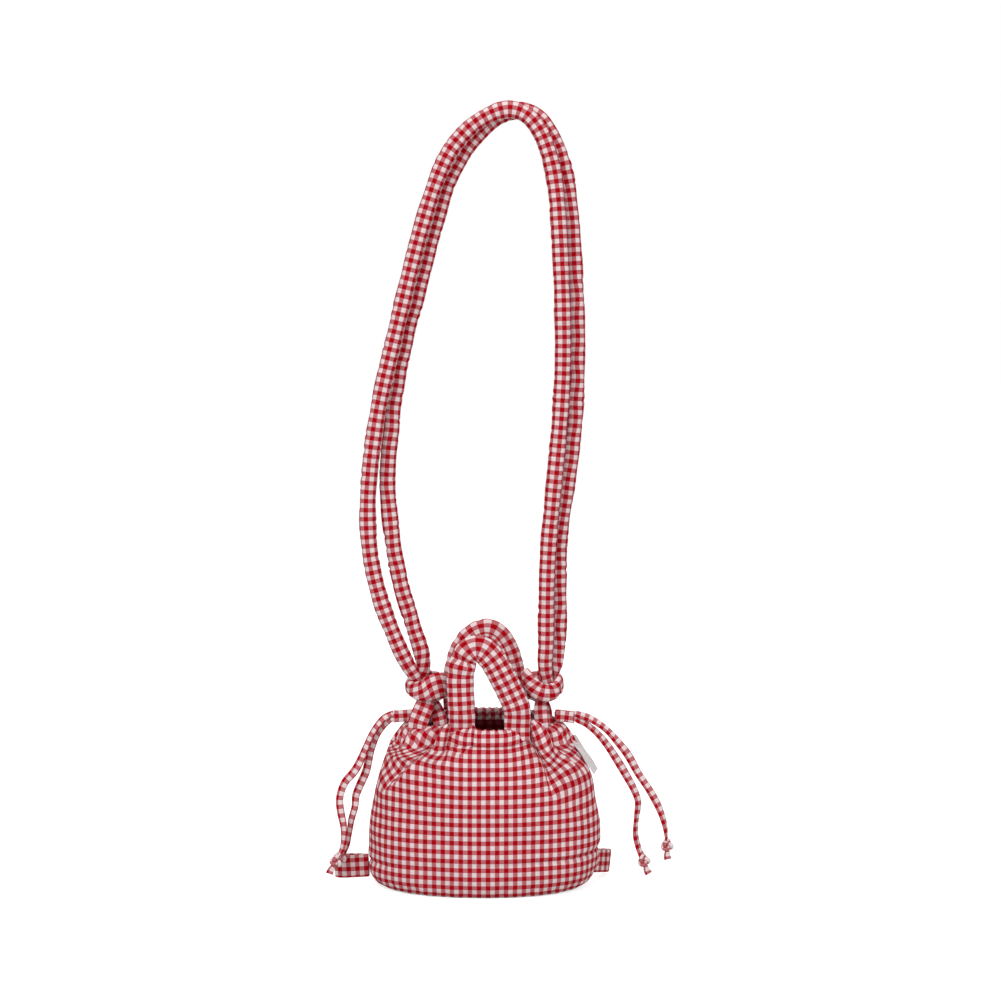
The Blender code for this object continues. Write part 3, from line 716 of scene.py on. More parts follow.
# Extra height of the rim: degrees and metres
RIM_LIFT = (
    (0.0, 0.0010), (14.0, 0.0020), (30.0, 0.0010), (90.0, -0.0012), (150.0, 0.0010),
    (166.0, 0.0020), (194.0, 0.0010), (206.0, -0.0010), (226.0, -0.0010), (236.0, 0.0000),
    (243.0, 0.0042), (250.0, 0.0004), (258.5, -0.0010), (261.5, 0.0030), (264.5, -0.0016),
    (275.0, -0.0024), (284.0, -0.0020), (289.0, 0.0014), (293.0, 0.0004), (299.0, 0.0060),
    (306.0, 0.0080), (314.0, 0.0040), (324.0, -0.0010), (346.0, 0.0000), (360.0, 0.0010),
)
# What each side seam stands out beyond the even body: height and metres
LEFT_FULLNESS = (
    (0.000, 0.0030), (0.014, 0.0036), (0.028, 0.0027), (0.056, 0.0023), (0.088, 0.0021),
    (0.103, 0.0027), (0.120, 0.0048), (0.137, 0.0076), (0.149, 0.0081), (0.166, 0.0040),
)
RIGHT_FULLNESS = (
    (0.000, -0.0050), (0.014, -0.0050), (0.028, -0.0017), (0.056, -0.0004), (0.088, -0.0007),
    (0.103, -0.0002), (0.120, 0.0007), (0.137, 0.0010), (0.149, 0.0012), (0.166, -0.0006),
)
# Degrees and share of the stitched groove and the casing's bulge
CASING_SHOWS = (
    (0.0, 0.25), (60.0, 0.4), (80.0, 1.0), (100.0, 1.0), (120.0, 0.4), (180.0, 0.25),
    (246.0, 0.10), (256.0, 0.80), (262.0, 1.0), (288.0, 1.0), (294.0, 0.80), (302.0, 0.10),
    (360.0, 0.25),
)


@dataclass(frozen=True)
class Relief:
    """Small ups and downs of the body cloth.

    Attributes:
        frill: height of the rim's broad waves.
        fine_frill: height of its narrow ones.
        pucker: height of the puckers at the casing's seam.
        stitch: depth of the seam's groove.
        sag: depth of the valley low on the body.
        sag_height: mean height of that valley.
        swelling: how far the cloth above it stands out.
        dent: depth of the soft dents all over.
        edge_pucker: height of the puckers at the base seam.
    """

    frill: float = 0.00045
    fine_frill: float = 0.0003
    pucker: float = 0.00034
    stitch: float = 0.0009
    sag: float = 0.0024
    sag_height: float = 0.0330
    swelling: float = 0.0013
    dent: float = 0.00085
    edge_pucker: float = 0.00070


@dataclass
class BagBody:
    """Gathered body with its drawcord casing, its lining and its base.

    Attributes:
        belly_half_width: half the width where the bag is widest.
        belly_half_depth: half the depth there.
        belly_height: height up to which the wall is upright.
        rim_half_width: half the width at the rim, from which the casing hangs.
        rim_half_depth: half the depth there.
        seam_height: height of the stitching under the casing.
        shoulder_power: how late the wall draws in; more is later.
        base_edge_radius: radius of the rounded lower edge.
        front_edge_share: share of that radius at the front and the back.
        back_rim_rise: how much higher the back rim stands.
        plan_squareness: squareness of the oval seen from above.
        casing_half_height: half the height of the hollow casing.
        casing_half_thickness: half its thickness.
        fold_limit: deepest that overlapping gathers can be.
        fold_full_height: height from which a gather has its whole depth.
        columns: columns of the mesh all round.
        folds: the gathers.
        lobes: the puffs between them.
        relief: the small ups and downs.
        side_pull: how far the drawcords lift the cloth at the sides.
        pull_height: height above the belly at which that lift is whole.
        panel_flat: flat size of the front panel, and of the back one; not used.
        base_thickness: thickness of the base.
        base_flat: flat size of the base; not used.
        base_area: its flat area, as it is oval; not used.
        lining_lift: height of the lining's floor.
        lining_flat: flat size of the lining; not used.
        angles: degrees of each column, from the left seam round the front.
    """

    belly_half_width: float = 0.1155
    belly_half_depth: float = 0.0625
    belly_height: float = 0.045
    rim_half_width: float = 0.0790
    rim_half_depth: float = 0.0385
    seam_height: float = 0.148
    shoulder_power: float = 2.2
    base_edge_radius: float = 0.022
    front_edge_share: float = 0.38
    back_rim_rise: float = 0.0095
    plan_squareness: float = 2.15
    casing_half_height: float = 0.0088
    casing_half_thickness: float = 0.0036
    fold_limit: float = 0.0175
    fold_full_height: float = 0.146
    columns: int = 640
    folds: tuple[Fold, ...] = FOLDS
    lobes: tuple[Lobe, ...] = LOBES
    relief: Relief = Relief()
    side_pull: float = 0.011
    pull_height: float = 0.105
    level_height: float = 0.034
    panel_flat: tuple[float, float] = (0.300, 0.215)
    base_thickness: float = 0.0018
    base_flat: tuple[float, float] = (0.194, 0.108)
    base_area: float = 0.0166
    lining_lift: float = 0.0040
    lining_flat: tuple[float, float] = (0.600, 0.185)
    angles: Array = field(init=False)

    def __post_init__(self) -> None:
        """Choose columns an equal distance apart on the upper wall, from the left seam."""
        fine = np.linspace(180.0, 540.0, 7201)
        x, y = self.oval(fine, *UPPER_WALL)
        way = np.concatenate([[0.0], np.cumsum(np.hypot(np.diff(x), np.diff(y)))])
        self.angles = np.interp(np.linspace(0.0, way[-1], self.columns + 1), way, fine)

    def oval(self, degrees: Array, half_x: Array | float,
             half_y: Array | float) -> tuple[Array, Array]:
        """Rounded oval: each coordinate is the signed 2/n power of cosine or sine.

        Args:
            degrees: bearing of each point.
            half_x: half width.
            half_y: half depth.

        Returns:
            The points' x and y.
        """
        power = 2.0 / self.plan_squareness
        turn = np.radians(degrees)
        cosine, sine = np.cos(turn), np.sin(turn)
        return (np.sign(cosine) * np.abs(cosine) ** power * half_x,
                np.sign(sine) * np.abs(sine) ** power * half_y)

    def by_angle(self, rows: Sequence[tuple[float, float]], angles: Array) -> Array:
        """Read a table of degrees and values at each column, as one row."""
        table = np.array(rows)
        return np.interp(angles % 360.0, table[:, 0], table[:, 1])[None, :]

    def beside(self, fold: Fold, h: Array, angles: Array, spacing: Array) -> Array:
        """Signed distance across a gather, which runs from its top to its low angle.

        Args:
            fold: the gather.
            h: height of each row, as a column.
            angles: degrees of each column.
            spacing: metres to a degree at each point.

        Returns:
            An array of rows by columns, positive towards greater degrees.
        """
        down = np.clip((self.seam_height - h) / (self.seam_height - fold.fade), 0.0, 1.0)
        middle = fold.top + (fold.low - fold.top) * down ** 0.85
        away = (angles[None, :] - middle + 180.0) % 360.0 - 180.0
        return away * spacing

    def surface(self, height: Array, turn: Array, inset: Array,
                angles: Array) -> tuple[Array, Array]:
        """Points of the body's cloth and of the same cloth without its gathers.

        The plain body is an oval whose half sizes fall from belly to rim with the
        shoulder power of the height. Gathers are cusps exp(-|x| / w) taken from it
        along its normal, leaned sideways by their lap, and lobes are bells added to it.
        A cusp's width w is uneven by its skew: w exp(-skew tanh(2 x / w)).

        Args:
            height: height of each row.
            turn: degrees from the flat base, 0, to the upright wall, 90, of each row.
            inset: distance inside the outer face, of each row.
            angles: degrees round the bag of each column.

        Returns:
            Two arrays of rows by columns by 3.
        """
        h = height[:, None]
        share = np.clip((h - self.belly_height) / (RIM_HEIGHT - self.belly_height), 0.0, None)
        share = share ** self.shoulder_power
        tuck = self.base_edge_radius * (1.0 - np.sin(np.radians(turn)))[:, None]
        half_x = self.belly_half_width - (self.belly_half_width - self.rim_half_width) * share
        half_y = self.belly_half_depth - (self.belly_half_depth - self.rim_half_depth) * share
        left, right = (np.interp(h, *np.array(rows).T)
                       for rows in (LEFT_FULLNESS, RIGHT_FULLNESS))
        leftward = np.cos(np.radians(angles))[None, :] < 0.0
        full_x = half_x + np.where(leftward, left, right)
        x, y = self.oval(angles[None, :], full_x - tuck, half_y - self.front_edge_share * tuck)
        normal = unit(np.stack([x / half_x**2, y / half_y**2, np.zeros_like(x)], axis=-1))
        side = np.stack([-normal[..., 1], normal[..., 0], np.zeros_like(x)], axis=-1)
        back = np.clip(np.sin(np.radians(angles)), 0.0, None)[None, :] ** 1.5
        climb = ease((h - self.belly_height) / (self.seam_height - self.belly_height))
        rim = self.by_angle(RIM_LIFT, angles)
        frill = (self.relief.frill * np.sin(np.radians(angles) * 83.0)
                 + self.relief.fine_frill * np.sin(np.radians(angles) * 131.0 + 1.0))
        z = (h + self.back_rim_rise * back * climb + rim * ease((h - 0.140) / 0.024)
             + frill[None, :] * ease((h - 0.160) / 0.006))
        shows = self.by_angle(CASING_SHOWS, angles)
        outer = h < CASING_MIDDLE + 0.0080
        depth = np.where(outer & (inset[:, None] < self.casing_half_thickness),
                         inset[:, None] * shows, inset[:, None])
        plain = np.stack([x, y, z], axis=-1) - normal * depth[..., None]
        spacing = np.hypot(np.gradient(x, axis=1), np.gradient(y, axis=1))
        spacing = spacing / np.gradient(angles)[None, :]
        deep = np.zeros_like(x)
        aside = np.zeros_like(x)
        for fold in self.folds:
            away = self.beside(fold, h, angles, spacing)
            ramp = ease((h - fold.fade) / (self.fold_full_height - fold.fade))
            width = fold.width * (1.0 + 0.8 * (1.0 - ramp))
            width = width * np.exp(-fold.skew * np.tanh(away / (0.5 * fold.width)))
            soft = 0.16 * fold.width
            cusp = np.exp((soft - np.sqrt(away**2 + soft**2)) / width)
            deep += fold.depth * ramp * cusp
            aside += fold.lap * fold.depth * ramp * cusp
        puff = np.zeros_like(x)
        for lobe in self.lobes:
            middle = lobe.degrees + lobe.lean * (h - lobe.height) * 1000.0
            away = (angles[None, :] - middle + 180.0) % 360.0 - 180.0
            puff += (lobe.rise * bell(away / lobe.half_degrees)
                     * bell((h - lobe.height) / lobe.half_height))
        deep = self.fold_limit * np.tanh(deep / self.fold_limit)
        moved = deep - puff - self.ripples(angles, h, inset, shows)
        cloth = plain - normal * moved[..., None] + side * aside[..., None]
        return cloth, plain

    def ripples(self, angles: Array, h: Array, inset: Array, shows: Array) -> Array:
        """Small relief: puckers at the seam, sags low down and soft dents, in metres.

        Puckers are sines of the angle under a bell round the seam. The sag is a narrow
        valley whose height wanders with the angle, with a swelling above it. Dents are
        products of sines of angle and height.

        Args:
            angles: degrees of each column.
            h: height of each row, as a column.
            inset: distance inside the outer face, of each row.
            shows: share of the groove that shows, of each column.

        Returns:
            How far the cloth stands out, rows by columns.
        """
        relief = self.relief
        a = np.radians(angles)[None, :]
        near_seam = bell((h - self.seam_height) / 0.0075)
        pucker = (np.sin(61.0 * a + 1.3) + 0.7 * np.sin(97.0 * a + 0.4)
                  + 0.6 * np.sin(37.0 * a + 2.0))
        out = relief.pucker * pucker * near_seam
        stitch = bell((h - self.seam_height) / 0.0010) * (inset[:, None] < 0.0022)
        out = out - relief.stitch * stitch * shows
        low = relief.sag_height + 0.0055 * np.cos(a) + 0.0012 * np.sin(3.0 * a + 1.0)
        strength = 0.55 - 0.45 * np.sin(2.0 * a - 0.5)
        out = out - relief.sag * strength * bell((h - low) / 0.0028)
        out = out + relief.swelling * strength * bell((h - low - 0.007) / 0.0060)
        dents = (np.sin(5.0 * a + 70.0 * h + 0.7) * np.sin(3.0 * a - 52.0 * h + 1.9)
                 + 0.6 * np.sin(9.0 * a + 48.0 * h) * np.sin(2.0 * a + 95.0 * h + 0.4))
        out = out + relief.dent * dents * ease(h / 0.02) * (1.0 - near_seam)
        edge = bell((h - 0.006) / 0.006)
        return out + relief.edge_pucker * edge * (np.sin(23.0 * a) + 0.6 * np.sin(41.0 * a + 1.0))

    def shell_rows(self) -> tuple[Array, Array, Array]:
        """Height, turn and inset of the rows of the outer shell.

        They climb the rounded lower edge and the wall, then run once round the casing:
        an oval of angle f, with height middle + H sin f and inset T (1 - cos f).

        Returns:
            Height, turn and inset of each row.
        """
        edge = np.linspace(0.0, 90.0, 10)
        low = self.base_edge_radius * (1.0 - np.cos(np.radians(edge)))
        wall = np.linspace(self.base_edge_radius, self.seam_height, 92)[1:-1]
        loop = np.radians(np.linspace(-78.0, 252.0, 44))
        power = 2.0 / 2.6
        tall = np.sign(np.sin(loop)) * np.abs(np.sin(loop)) ** power
        thick = np.sign(np.cos(loop)) * np.abs(np.cos(loop)) ** power
        bulge = 1.0 + 0.35 * (thick > 0.0) * thick
        casing = CASING_MIDDLE + self.casing_half_height * tall
        inset = self.casing_half_thickness * (1.0 - thick * bulge)
        height = np.concatenate([low, wall, casing])
        turn = np.concatenate([edge, np.full(len(wall) + len(casing), 90.0)])
        return height, turn, np.concatenate([np.zeros(len(edge) + len(wall)), inset])

    def cloth_map(self, cloth: Array, plain: Array, middle: int, h: Array,
                  angles: Array) -> Array:
        """Real distances on the cloth.

        Across, it is the distance along each row from the middle column. Up, it is the
        distance up the plain body, less a pull towards the sides and the rim, where the
        drawcords lift the cloth. Beyond a turning gather the whole cloth is turned round
        the gather's lower end: u' = x cos t - y sin t and v' = y cos t + x sin t, with x and
        y the distances from that end. The angle t grows with the bearing from that end, from
        nothing below it to the whole turn above it, as on a dart.

        Args:
            cloth: the gathered cloth's points.
            plain: the plain body's points.
            h: height of each row.
            angles: degrees of each column.

        Returns:
            An array of rows by columns by 2.
        """
        across = np.linalg.norm(np.diff(cloth, axis=1), axis=2)
        across = np.concatenate([np.zeros((len(cloth), 1)), np.cumsum(across, axis=1)], axis=1)
        across = across - across[:, middle:middle + 1]
        up = np.linalg.norm(np.diff(plain, axis=0), axis=2)
        up = np.concatenate([np.zeros((1, plain.shape[1])), np.cumsum(up, axis=0)])
        reach = np.abs(np.cos(np.radians(angles)))[None, :]
        rise = np.clip((h[:, None] - self.belly_height) / self.pull_height, 0.0, 1.0)
        up = up - self.side_pull * ease((reach - 0.12) / 0.80) * rise**1.6
        level = int(np.argmin(np.abs(h - self.level_height)))
        up = up - up[level:level + 1] + self.level_height
        step = np.linalg.norm(np.diff(plain, axis=1), axis=2)
        even = np.concatenate([np.zeros((len(step), 1)), np.cumsum(step, axis=1)], axis=1)
        even = even - even[:, middle:middle + 1]
        spacing = np.gradient(even, axis=1) / np.gradient(angles)[None, :]
        for fold in self.folds:
            pivot = fold.low if fold.low >= angles.min() else fold.low + 360.0
            if not fold.turn or not angles.min() < pivot < angles.max():
                continue
            column = int(np.argmin(np.abs(angles - pivot)))
            away = self.beside(fold, h[:, None], angles, spacing) * fold.beyond
            row = int(np.argmin(np.abs(h - fold.fade)))
            level_way = even - even[row, column]
            rise_way = up - up[row, column]
            around = np.degrees(np.arctan2(rise_way, level_way * fold.beyond))
            edge = np.where(rise_way > 0.0, ease((away + 0.002) / 0.005), 1.0)
            turn = math.radians(fold.turn) * edge * ease((around + 40.0) / 130.0)
            across = across + level_way * (np.cos(turn) - 1.0) - rise_way * np.sin(turn)
            up = up + rise_way * (np.cos(turn) - 1.0) + level_way * np.sin(turn)
        return np.stack([across, up], axis=-1)

    def panel(self, name: str, start: int, finish: bpy.types.Material,
              nodes: Sequence[str]) -> bpy.types.Object:
        """Half of the shell, from one side seam to the other.

        Args:
            name: the piece's name.
            start: first column.
            finish: its material.
            nodes: the CAD nodes it stands for.

        Returns:
            The piece.
        """
        half = self.columns // 2
        angles = self.angles[start:start + half + 1]
        height, turn, inset = self.shell_rows()
        cloth, plain = self.surface(height, turn, inset, angles)
        uv = self.cloth_map(cloth, plain, half // 2, height, angles)
        item = new_piece(name, [Patch(cloth, uv)], closed=False)
        dress(item, finish, Slot.BODY, nodes)
        return item

    def build_base(self, finish: bpy.types.Material) -> bpy.types.Object:
        """Flat oval base: rings of the oval shrunk towards its middle, twice, as two faces.

        Args:
            finish: its material.

        Returns:
            The piece.
        """
        shares = np.linspace(1.0, 0.02, 12)
        edge, _ = self.surface(np.array([0.0]), np.array([0.0]), np.array([-0.0004]),
                               self.angles[:-1:4])
        x, y = (edge[..., k] * shares[:, None] for k in (0, 1))
        under = np.stack([x, y, np.zeros_like(x)], axis=-1)
        over = under[::-1] + np.array([0.0, 0.0, self.base_thickness])
        points = np.concatenate([under[::-1], over[::-1]])
        uv = points[..., :2]
        uv = np.concatenate([uv, uv[:, :1]], axis=1)
        item = new_piece("bag_base", [Patch(points, uv, wrap_columns=True, capped=True)])
        dress(item, finish, Slot.BODY, ["base_panel"])
        return item

    def build_lining(self, finish: bpy.types.Material) -> bpy.types.Object:
        """Inner bag: hangs from the casing's inner seam and lies on the base.

        The same gathered body, set inside the outer cloth, and a floor that closes
        towards the middle.

        Args:
            finish: its material, the gingham darkened with painted shade of the bag's inside.

        Returns:
            The piece.
        """
        angles = self.angles[:-1:2]
        drop = np.linspace(CASING_MIDDLE - 0.006, self.base_edge_radius, 60)
        edge = np.linspace(90.0, 0.0, 8)
        low = self.base_edge_radius * (1.0 - np.cos(np.radians(edge)))
        height = np.concatenate([drop[:-1], low]) + self.lining_lift
        turn = np.concatenate([np.full(len(drop) - 1, 90.0), edge])
        inset = 0.0024 + 0.0044 * ease((height - 0.128) / 0.022)
        cloth, plain = self.surface(height, turn, inset, angles)
        centre = np.array([0.0, 0.0, self.lining_lift])
        floor_shares = np.linspace(1.0, 0.03, 8)[1:]
        ring = cloth[-1]
        floor = centre + (ring[None] - centre) * floor_shares[:, None, None]
        cloth = np.concatenate([cloth, floor])
        up = np.linalg.norm(np.diff(plain, axis=0), axis=2)
        up = np.concatenate([np.zeros((1, plain.shape[1])), np.cumsum(up, axis=0)])
        up = np.concatenate([up, up[-1:] + 0.006 * np.arange(1, len(floor) + 1)[:, None]])
        across = np.linalg.norm(np.diff(cloth[0], axis=0), axis=1)
        across = np.concatenate([[0.0], np.cumsum(across)])
        uv = np.stack(np.broadcast_arrays(across[None, :], up), axis=-1)
        uv = np.concatenate([uv, uv[:, -1:] + (uv[:, -1:] - uv[:, -2:-1])], axis=1)
        item = new_piece("bag_lining", [Patch(cloth, uv, wrap_columns=True)], closed=False)
        dress(item, finish, Slot.LINING, ["lining"])
        return item

    def build(self, outer: bpy.types.Material, inner: bpy.types.Material) -> None:
        """Make the base, both panels and the lining.

        Args:
            outer: material of the base and the panels.
            inner: material of the lining, the same gingham darkened with painted shade.
        """
        self.build_base(outer)
        half = self.columns // 2
        self.panel("body_front", 0, outer, ["front_panel", "casing_front"])
        self.panel("body_back", half, outer, ["back_panel", "casing_back"])
        self.build_lining(inner)


# drawcords


@dataclass
class Drawcord:
    """One folded cloth cord: its run in the casing, two tails and two end knots.

    Attributes:
        side: where its tails come out.
        body: the bag body whose casing it runs through.
        sleeve_tip: distance from the middle of the bag at which its tails come out.
        outer_route: places on the way of the outer tail, from the sleeve down.
        inner_route: the same for the inner tail.
        outer_length: length of the outer tail, knot included; not used.
        inner_length: the same for the inner tail; not used.
        sleeve_root: distance from the middle of the bag at which it enters the sleeve.
        pitch: half the distance between its two ends in the sleeve.
        level_offset: how far it runs above or below the middle of the casing.
        start_depth: how deep in the sleeve each tail starts.
        run_radius: radius of the gathered-up run in the casing.
        tail_half_width: half the width of the flat tail.
        tail_half_thickness: half its thickness.
        knot_radius: radius of a knot.
        knot_cord_radius: radius of the cord that a knot is tied from.
        stub_length: length of the stub below a knot.
    """

    side: Side
    body: BagBody
    sleeve_tip: float
    outer_route: Sequence[Sequence[float]]
    inner_route: Sequence[Sequence[float]]
    outer_length: float
    inner_length: float
    sleeve_root: float = 0.0735
    pitch: float = 0.0026
    level_offset: float = 0.003
    start_depth: float = 0.007
    run_radius: float = 0.0012
    tail_half_width: float = 0.0040
    tail_half_thickness: float = 0.0015
    knot_radius: float = 0.0034
    knot_cord_radius: float = 0.0021
    stub_length: float = 0.0120

    def build_run(self, finish: bpy.types.Material) -> bpy.types.Object:
        """The stretch inside the casing: a thin round tube on the casing's middle line.

        Args:
            finish: its material.

        Returns:
            The piece.
        """
        exit_angle = 180.0 if self.side is Side.LEFT else 0.0
        level = CASING_MIDDLE - self.side.value * self.level_offset
        angles = exit_angle + np.linspace(9.0, 351.0, 240)
        line, _ = self.body.surface(np.array([level]), np.array([90.0]),
                                    np.array([self.body.casing_half_thickness]), angles)
        sign = self.side.value
        ends = [(sign * (self.sleeve_tip - self.start_depth - 0.0005), SLEEVE_Y,
                 SLEEVE_MIDDLE + k * self.pitch) for k in (-1.0, 1.0)]
        roots = [(sign * (self.sleeve_root - 0.004), SLEEVE_Y + 0.001,
                  SLEEVE_MIDDLE + k * self.pitch) for k in (-1.0, 1.0)]
        order = (0, 1) if self.side is Side.LEFT else (1, 0)
        path = np.concatenate([[ends[order[0]], roots[order[0]]], line[0],
                               [roots[order[1]], ends[order[1]]]])
        stations = smooth_path(path, 0.003)
        facing = np.tile([0.0, 0.0, 1.0], (len(stations), 1))
        sizes = np.full((len(stations), 2), self.run_radius)
        sweep = Sweep(np.column_stack([stations, facing, sizes]), oval_section(8, 2.0))
        item = new_piece(f"drawcord_{self.side.word}_run",
                         [Patch(sweep.grid(), sweep.cloth(), wrap_columns=True, capped=True)])
        return dress(item, finish, Slot.CORD, [f"drawcord_{self.side.word}"])

    def knot_patches(self, start: Array, along: Array) -> list[Patch]:
        """A trefoil of cord for the tight knot, and a flat stub that flares below it.

        The trefoil is (sin t + 2 sin 2t, cos t - 2 cos 2t, -1.1 sin 3t), scaled.

        Args:
            start: the tail's end.
            along: the way the tail runs there.

        Returns:
            The knot and its stub.
        """
        along = unit(along)
        front = np.array([0.0, -1.0, 0.0])
        across = unit(np.cross(along, front))
        deep = np.cross(across, along)
        t = np.linspace(0.0, math.tau, 72, endpoint=False)
        size = self.knot_radius / 2.1
        flat = np.stack([np.sin(t) + 2.0 * np.sin(2.0 * t), np.cos(t) - 2.0 * np.cos(2.0 * t),
                         -1.1 * np.sin(3.0 * t)], axis=-1) * size
        middle = start + along * (self.knot_radius + 0.0018)
        centres = (middle + flat[:, :1] * across + flat[:, 1:2] * along + flat[:, 2:] * deep)
        sizes = np.full((len(t), 2), self.knot_cord_radius)
        knot = Sweep(np.column_stack([centres, unit(centres - middle), sizes]),
                     oval_section(12, 2.2), closed=True)
        low = middle + along * (self.knot_radius + 0.0010)
        rows = []
        for share, wide, bend in ((0.0, 0.0016, 0.0), (0.3, 0.0024, 0.0004),
                                  (0.65, 0.0033, 0.0010), (1.0, 0.0038, 0.0006)):
            spot = low + along * (self.stub_length * share - 0.002) + across * bend
            rows.append([*spot, *deep, 0.0010, wide])
        stub = Sweep(smooth_path(rows, 0.0012), oval_section(16, 3.2))
        return [Patch(knot.grid(), knot.cloth(), wrap_rows=True, wrap_columns=True),
                Patch(stub.grid(), stub.cloth(), wrap_columns=True, capped=True)]

    def build_tail(self, word: str, route: Sequence[Sequence[float]],
                   finish: bpy.types.Material) -> None:
        """One free tail as a flat folded strip that twists on its way down, and its knot.

        The strip faces out at an angle that grows evenly with the distance and sways by
        half a radian, so it shows its face and its edge in turn.

        Args:
            word: outer or inner.
            route: places on its way down.
            finish: its material.
        """
        sign = self.side.value
        level = SLEEVE_MIDDLE + (self.pitch if word == "outer" else -self.pitch)
        first = (sign * (self.sleeve_tip - self.start_depth), SLEEVE_Y, level)
        tip = (sign * self.sleeve_tip, SLEEVE_Y, level)
        line = smooth_path([first, tip, *route], 0.0016)
        way = travelled(line)
        begin, rate = (0.20, 3.0) if word == "outer" else (0.75, -2.0)
        twist = sign * (begin + rate * way + 0.55 * np.sin(way * 42.0 + 2.0 * begin))
        facing = np.column_stack([np.sin(twist), -np.cos(twist), np.full(len(line), 0.12)])
        squeeze = 1.0 - 0.35 * bell((way - 0.004) / 0.012)
        thick = self.tail_half_thickness * (1.0 + 0.25 * np.sin(way * 170.0))
        wide = self.tail_half_width * squeeze * (1.0 + 0.06 * np.sin(way * 90.0 + 1.0))
        sweep = Sweep(np.column_stack([line, facing, thick, wide]), oval_section(16, 2.6))
        item = new_piece(f"drawcord_{self.side.word}_{word}",
                         [Patch(sweep.grid(), sweep.cloth(), wrap_columns=True, capped=True)])
        dress(item, finish, Slot.CORD, [f"tail_{self.side.word}_{word}"])
        knot = new_piece(f"knot_{self.side.word}_{word}_cloth",
                         self.knot_patches(line[-1], line[-1] - line[-4]))
        dress(knot, finish, Slot.CORD, [f"knot_{self.side.word}_{word}"])
        LOG.info("%s is %.4f m long", item.name, way[-1])

    def build(self, finish: bpy.types.Material) -> None:
        """Make the run in the casing, both tails and both knots.

        Args:
            finish: their material.
        """
        self.build_run(finish)
        self.build_tail("outer", self.outer_route, finish)
        self.build_tail("inner", self.inner_route, finish)


@dataclass
class CordSleeve:
    """Short flat sleeve beside the rim that both ends of one drawcord come out of.

    Attributes:
        side: its side of the bag.
        tip: distance of its open end from the middle of the bag.
        root: distance of its other end.
        half_height: half its height.
        half_depth: half its thickness.
        wall: thickness of its cloth.
        droop: how far its open end hangs.
        flat: flat size of its cloth; not used.
    """

    side: Side
    tip: float
    root: float = 0.0700
    half_height: float = 0.0064
    half_depth: float = 0.0034
    wall: float = 0.0009
    droop: float = 0.0
    flat: tuple[float, float] = (0.0300, 0.0200)

    def build(self, finish: bpy.types.Material) -> bpy.types.Object:
        """Outer wall out to the tip and inner wall back, as one closed ring of rings.

        Args:
            finish: its material.

        Returns:
            The piece.
        """
        sign = self.side.value
        reach = np.linspace(0.0, 1.0, 22)
        centre = np.column_stack([
            sign * (self.root + (self.tip - self.root) * reach),
            np.full(len(reach), SLEEVE_Y) + 0.0006 * np.sin(reach * 4.0),
            SLEEVE_MIDDLE + self.droop * reach + 0.0003 * np.sin(reach * 5.0),
        ])
        facing = np.tile([0.0, -1.0, 0.0], (len(reach), 1))
        thick = self.half_depth * (1.15 - 0.35 * reach)
        tall = self.half_height * (0.96 + 0.04 * np.cos(reach * 5.0))
        outer = np.column_stack([centre, facing, thick, tall])
        inner = np.column_stack([centre, facing, thick - self.wall, tall - self.wall])[::-1]
        section = oval_section(36, 3.6)
        skins = [Sweep(rows, section) for rows in (outer, inner)]
        # the inner wall runs back, so its section is mirrored to keep its columns in line
        points = [skins[0].grid(), skins[1].grid()[:, ::-1]]
        uv = np.concatenate([skins[0].cloth(), skins[1].cloth()], axis=0)
        uv = np.concatenate([uv, uv[:1]])
        item = new_piece(f"sleeve_{self.side.word}",
                         [Patch(np.concatenate(points), uv[..., ::-1], wrap_rows=True,
                                wrap_columns=True)], sharp_degrees=55.0)
        dress(item, finish, Slot.TRIM, [f"cord_sleeve_{self.side.word}"])
        return item


# padded pieces

FRONT = (0.0, -1.0, 0.0)
BACK = (0.0, 1.0, 0.0)

# Each hitch runs through three stretches, drawn for the left tab in metres from the
# hitch's middle: place, facing, half thickness and half width. The first comes in at the
# front, the second is a wide band over the front, and the third goes round the back and out
HITCH_START = (
    ((-0.0085, -0.0048, -0.0010), FRONT, 0.0036, 0.0055),
    ((-0.0050, -0.0049, -0.0070), FRONT, 0.0036, 0.0060),
    ((0.0010, -0.0050, -0.0090), FRONT, 0.0036, 0.0062),
    ((0.0080, -0.0053, -0.0080), FRONT, 0.0036, 0.0064),
    ((0.0132, -0.0075, -0.0030), (-0.5, -0.9, 0.0), 0.0036, 0.0070),
)
HITCH_END = (
    ((-0.0188, 0.0060, 0.0000), (1.0, -0.2, 0.0), 0.0040, 0.0100),
    ((-0.0120, 0.0138, 0.0015), (0.6, -0.8, 0.0), 0.0042, 0.0108),
    ((-0.0020, 0.0165, 0.0022), FRONT, 0.0042, 0.0112),
    ((0.0080, 0.0155, 0.0020), (-0.1, -1.0, 0.0), 0.0042, 0.0100),
    ((0.0148, 0.0110, 0.0000), (-1.0, 0.0, 0.0), 0.0038, 0.0080),
    ((0.0135, 0.0073, -0.0040), (-0.5, 0.9, 0.0), 0.0036, 0.0070),
    ((0.0080, 0.0053, -0.0080), BACK, 0.0036, 0.0064),
    ((0.0010, 0.0050, -0.0090), BACK, 0.0036, 0.0062),
    ((-0.0050, 0.0049, -0.0070), BACK, 0.0036, 0.0060),
    ((-0.0085, 0.0048, -0.0010), BACK, 0.0036, 0.0055),
)
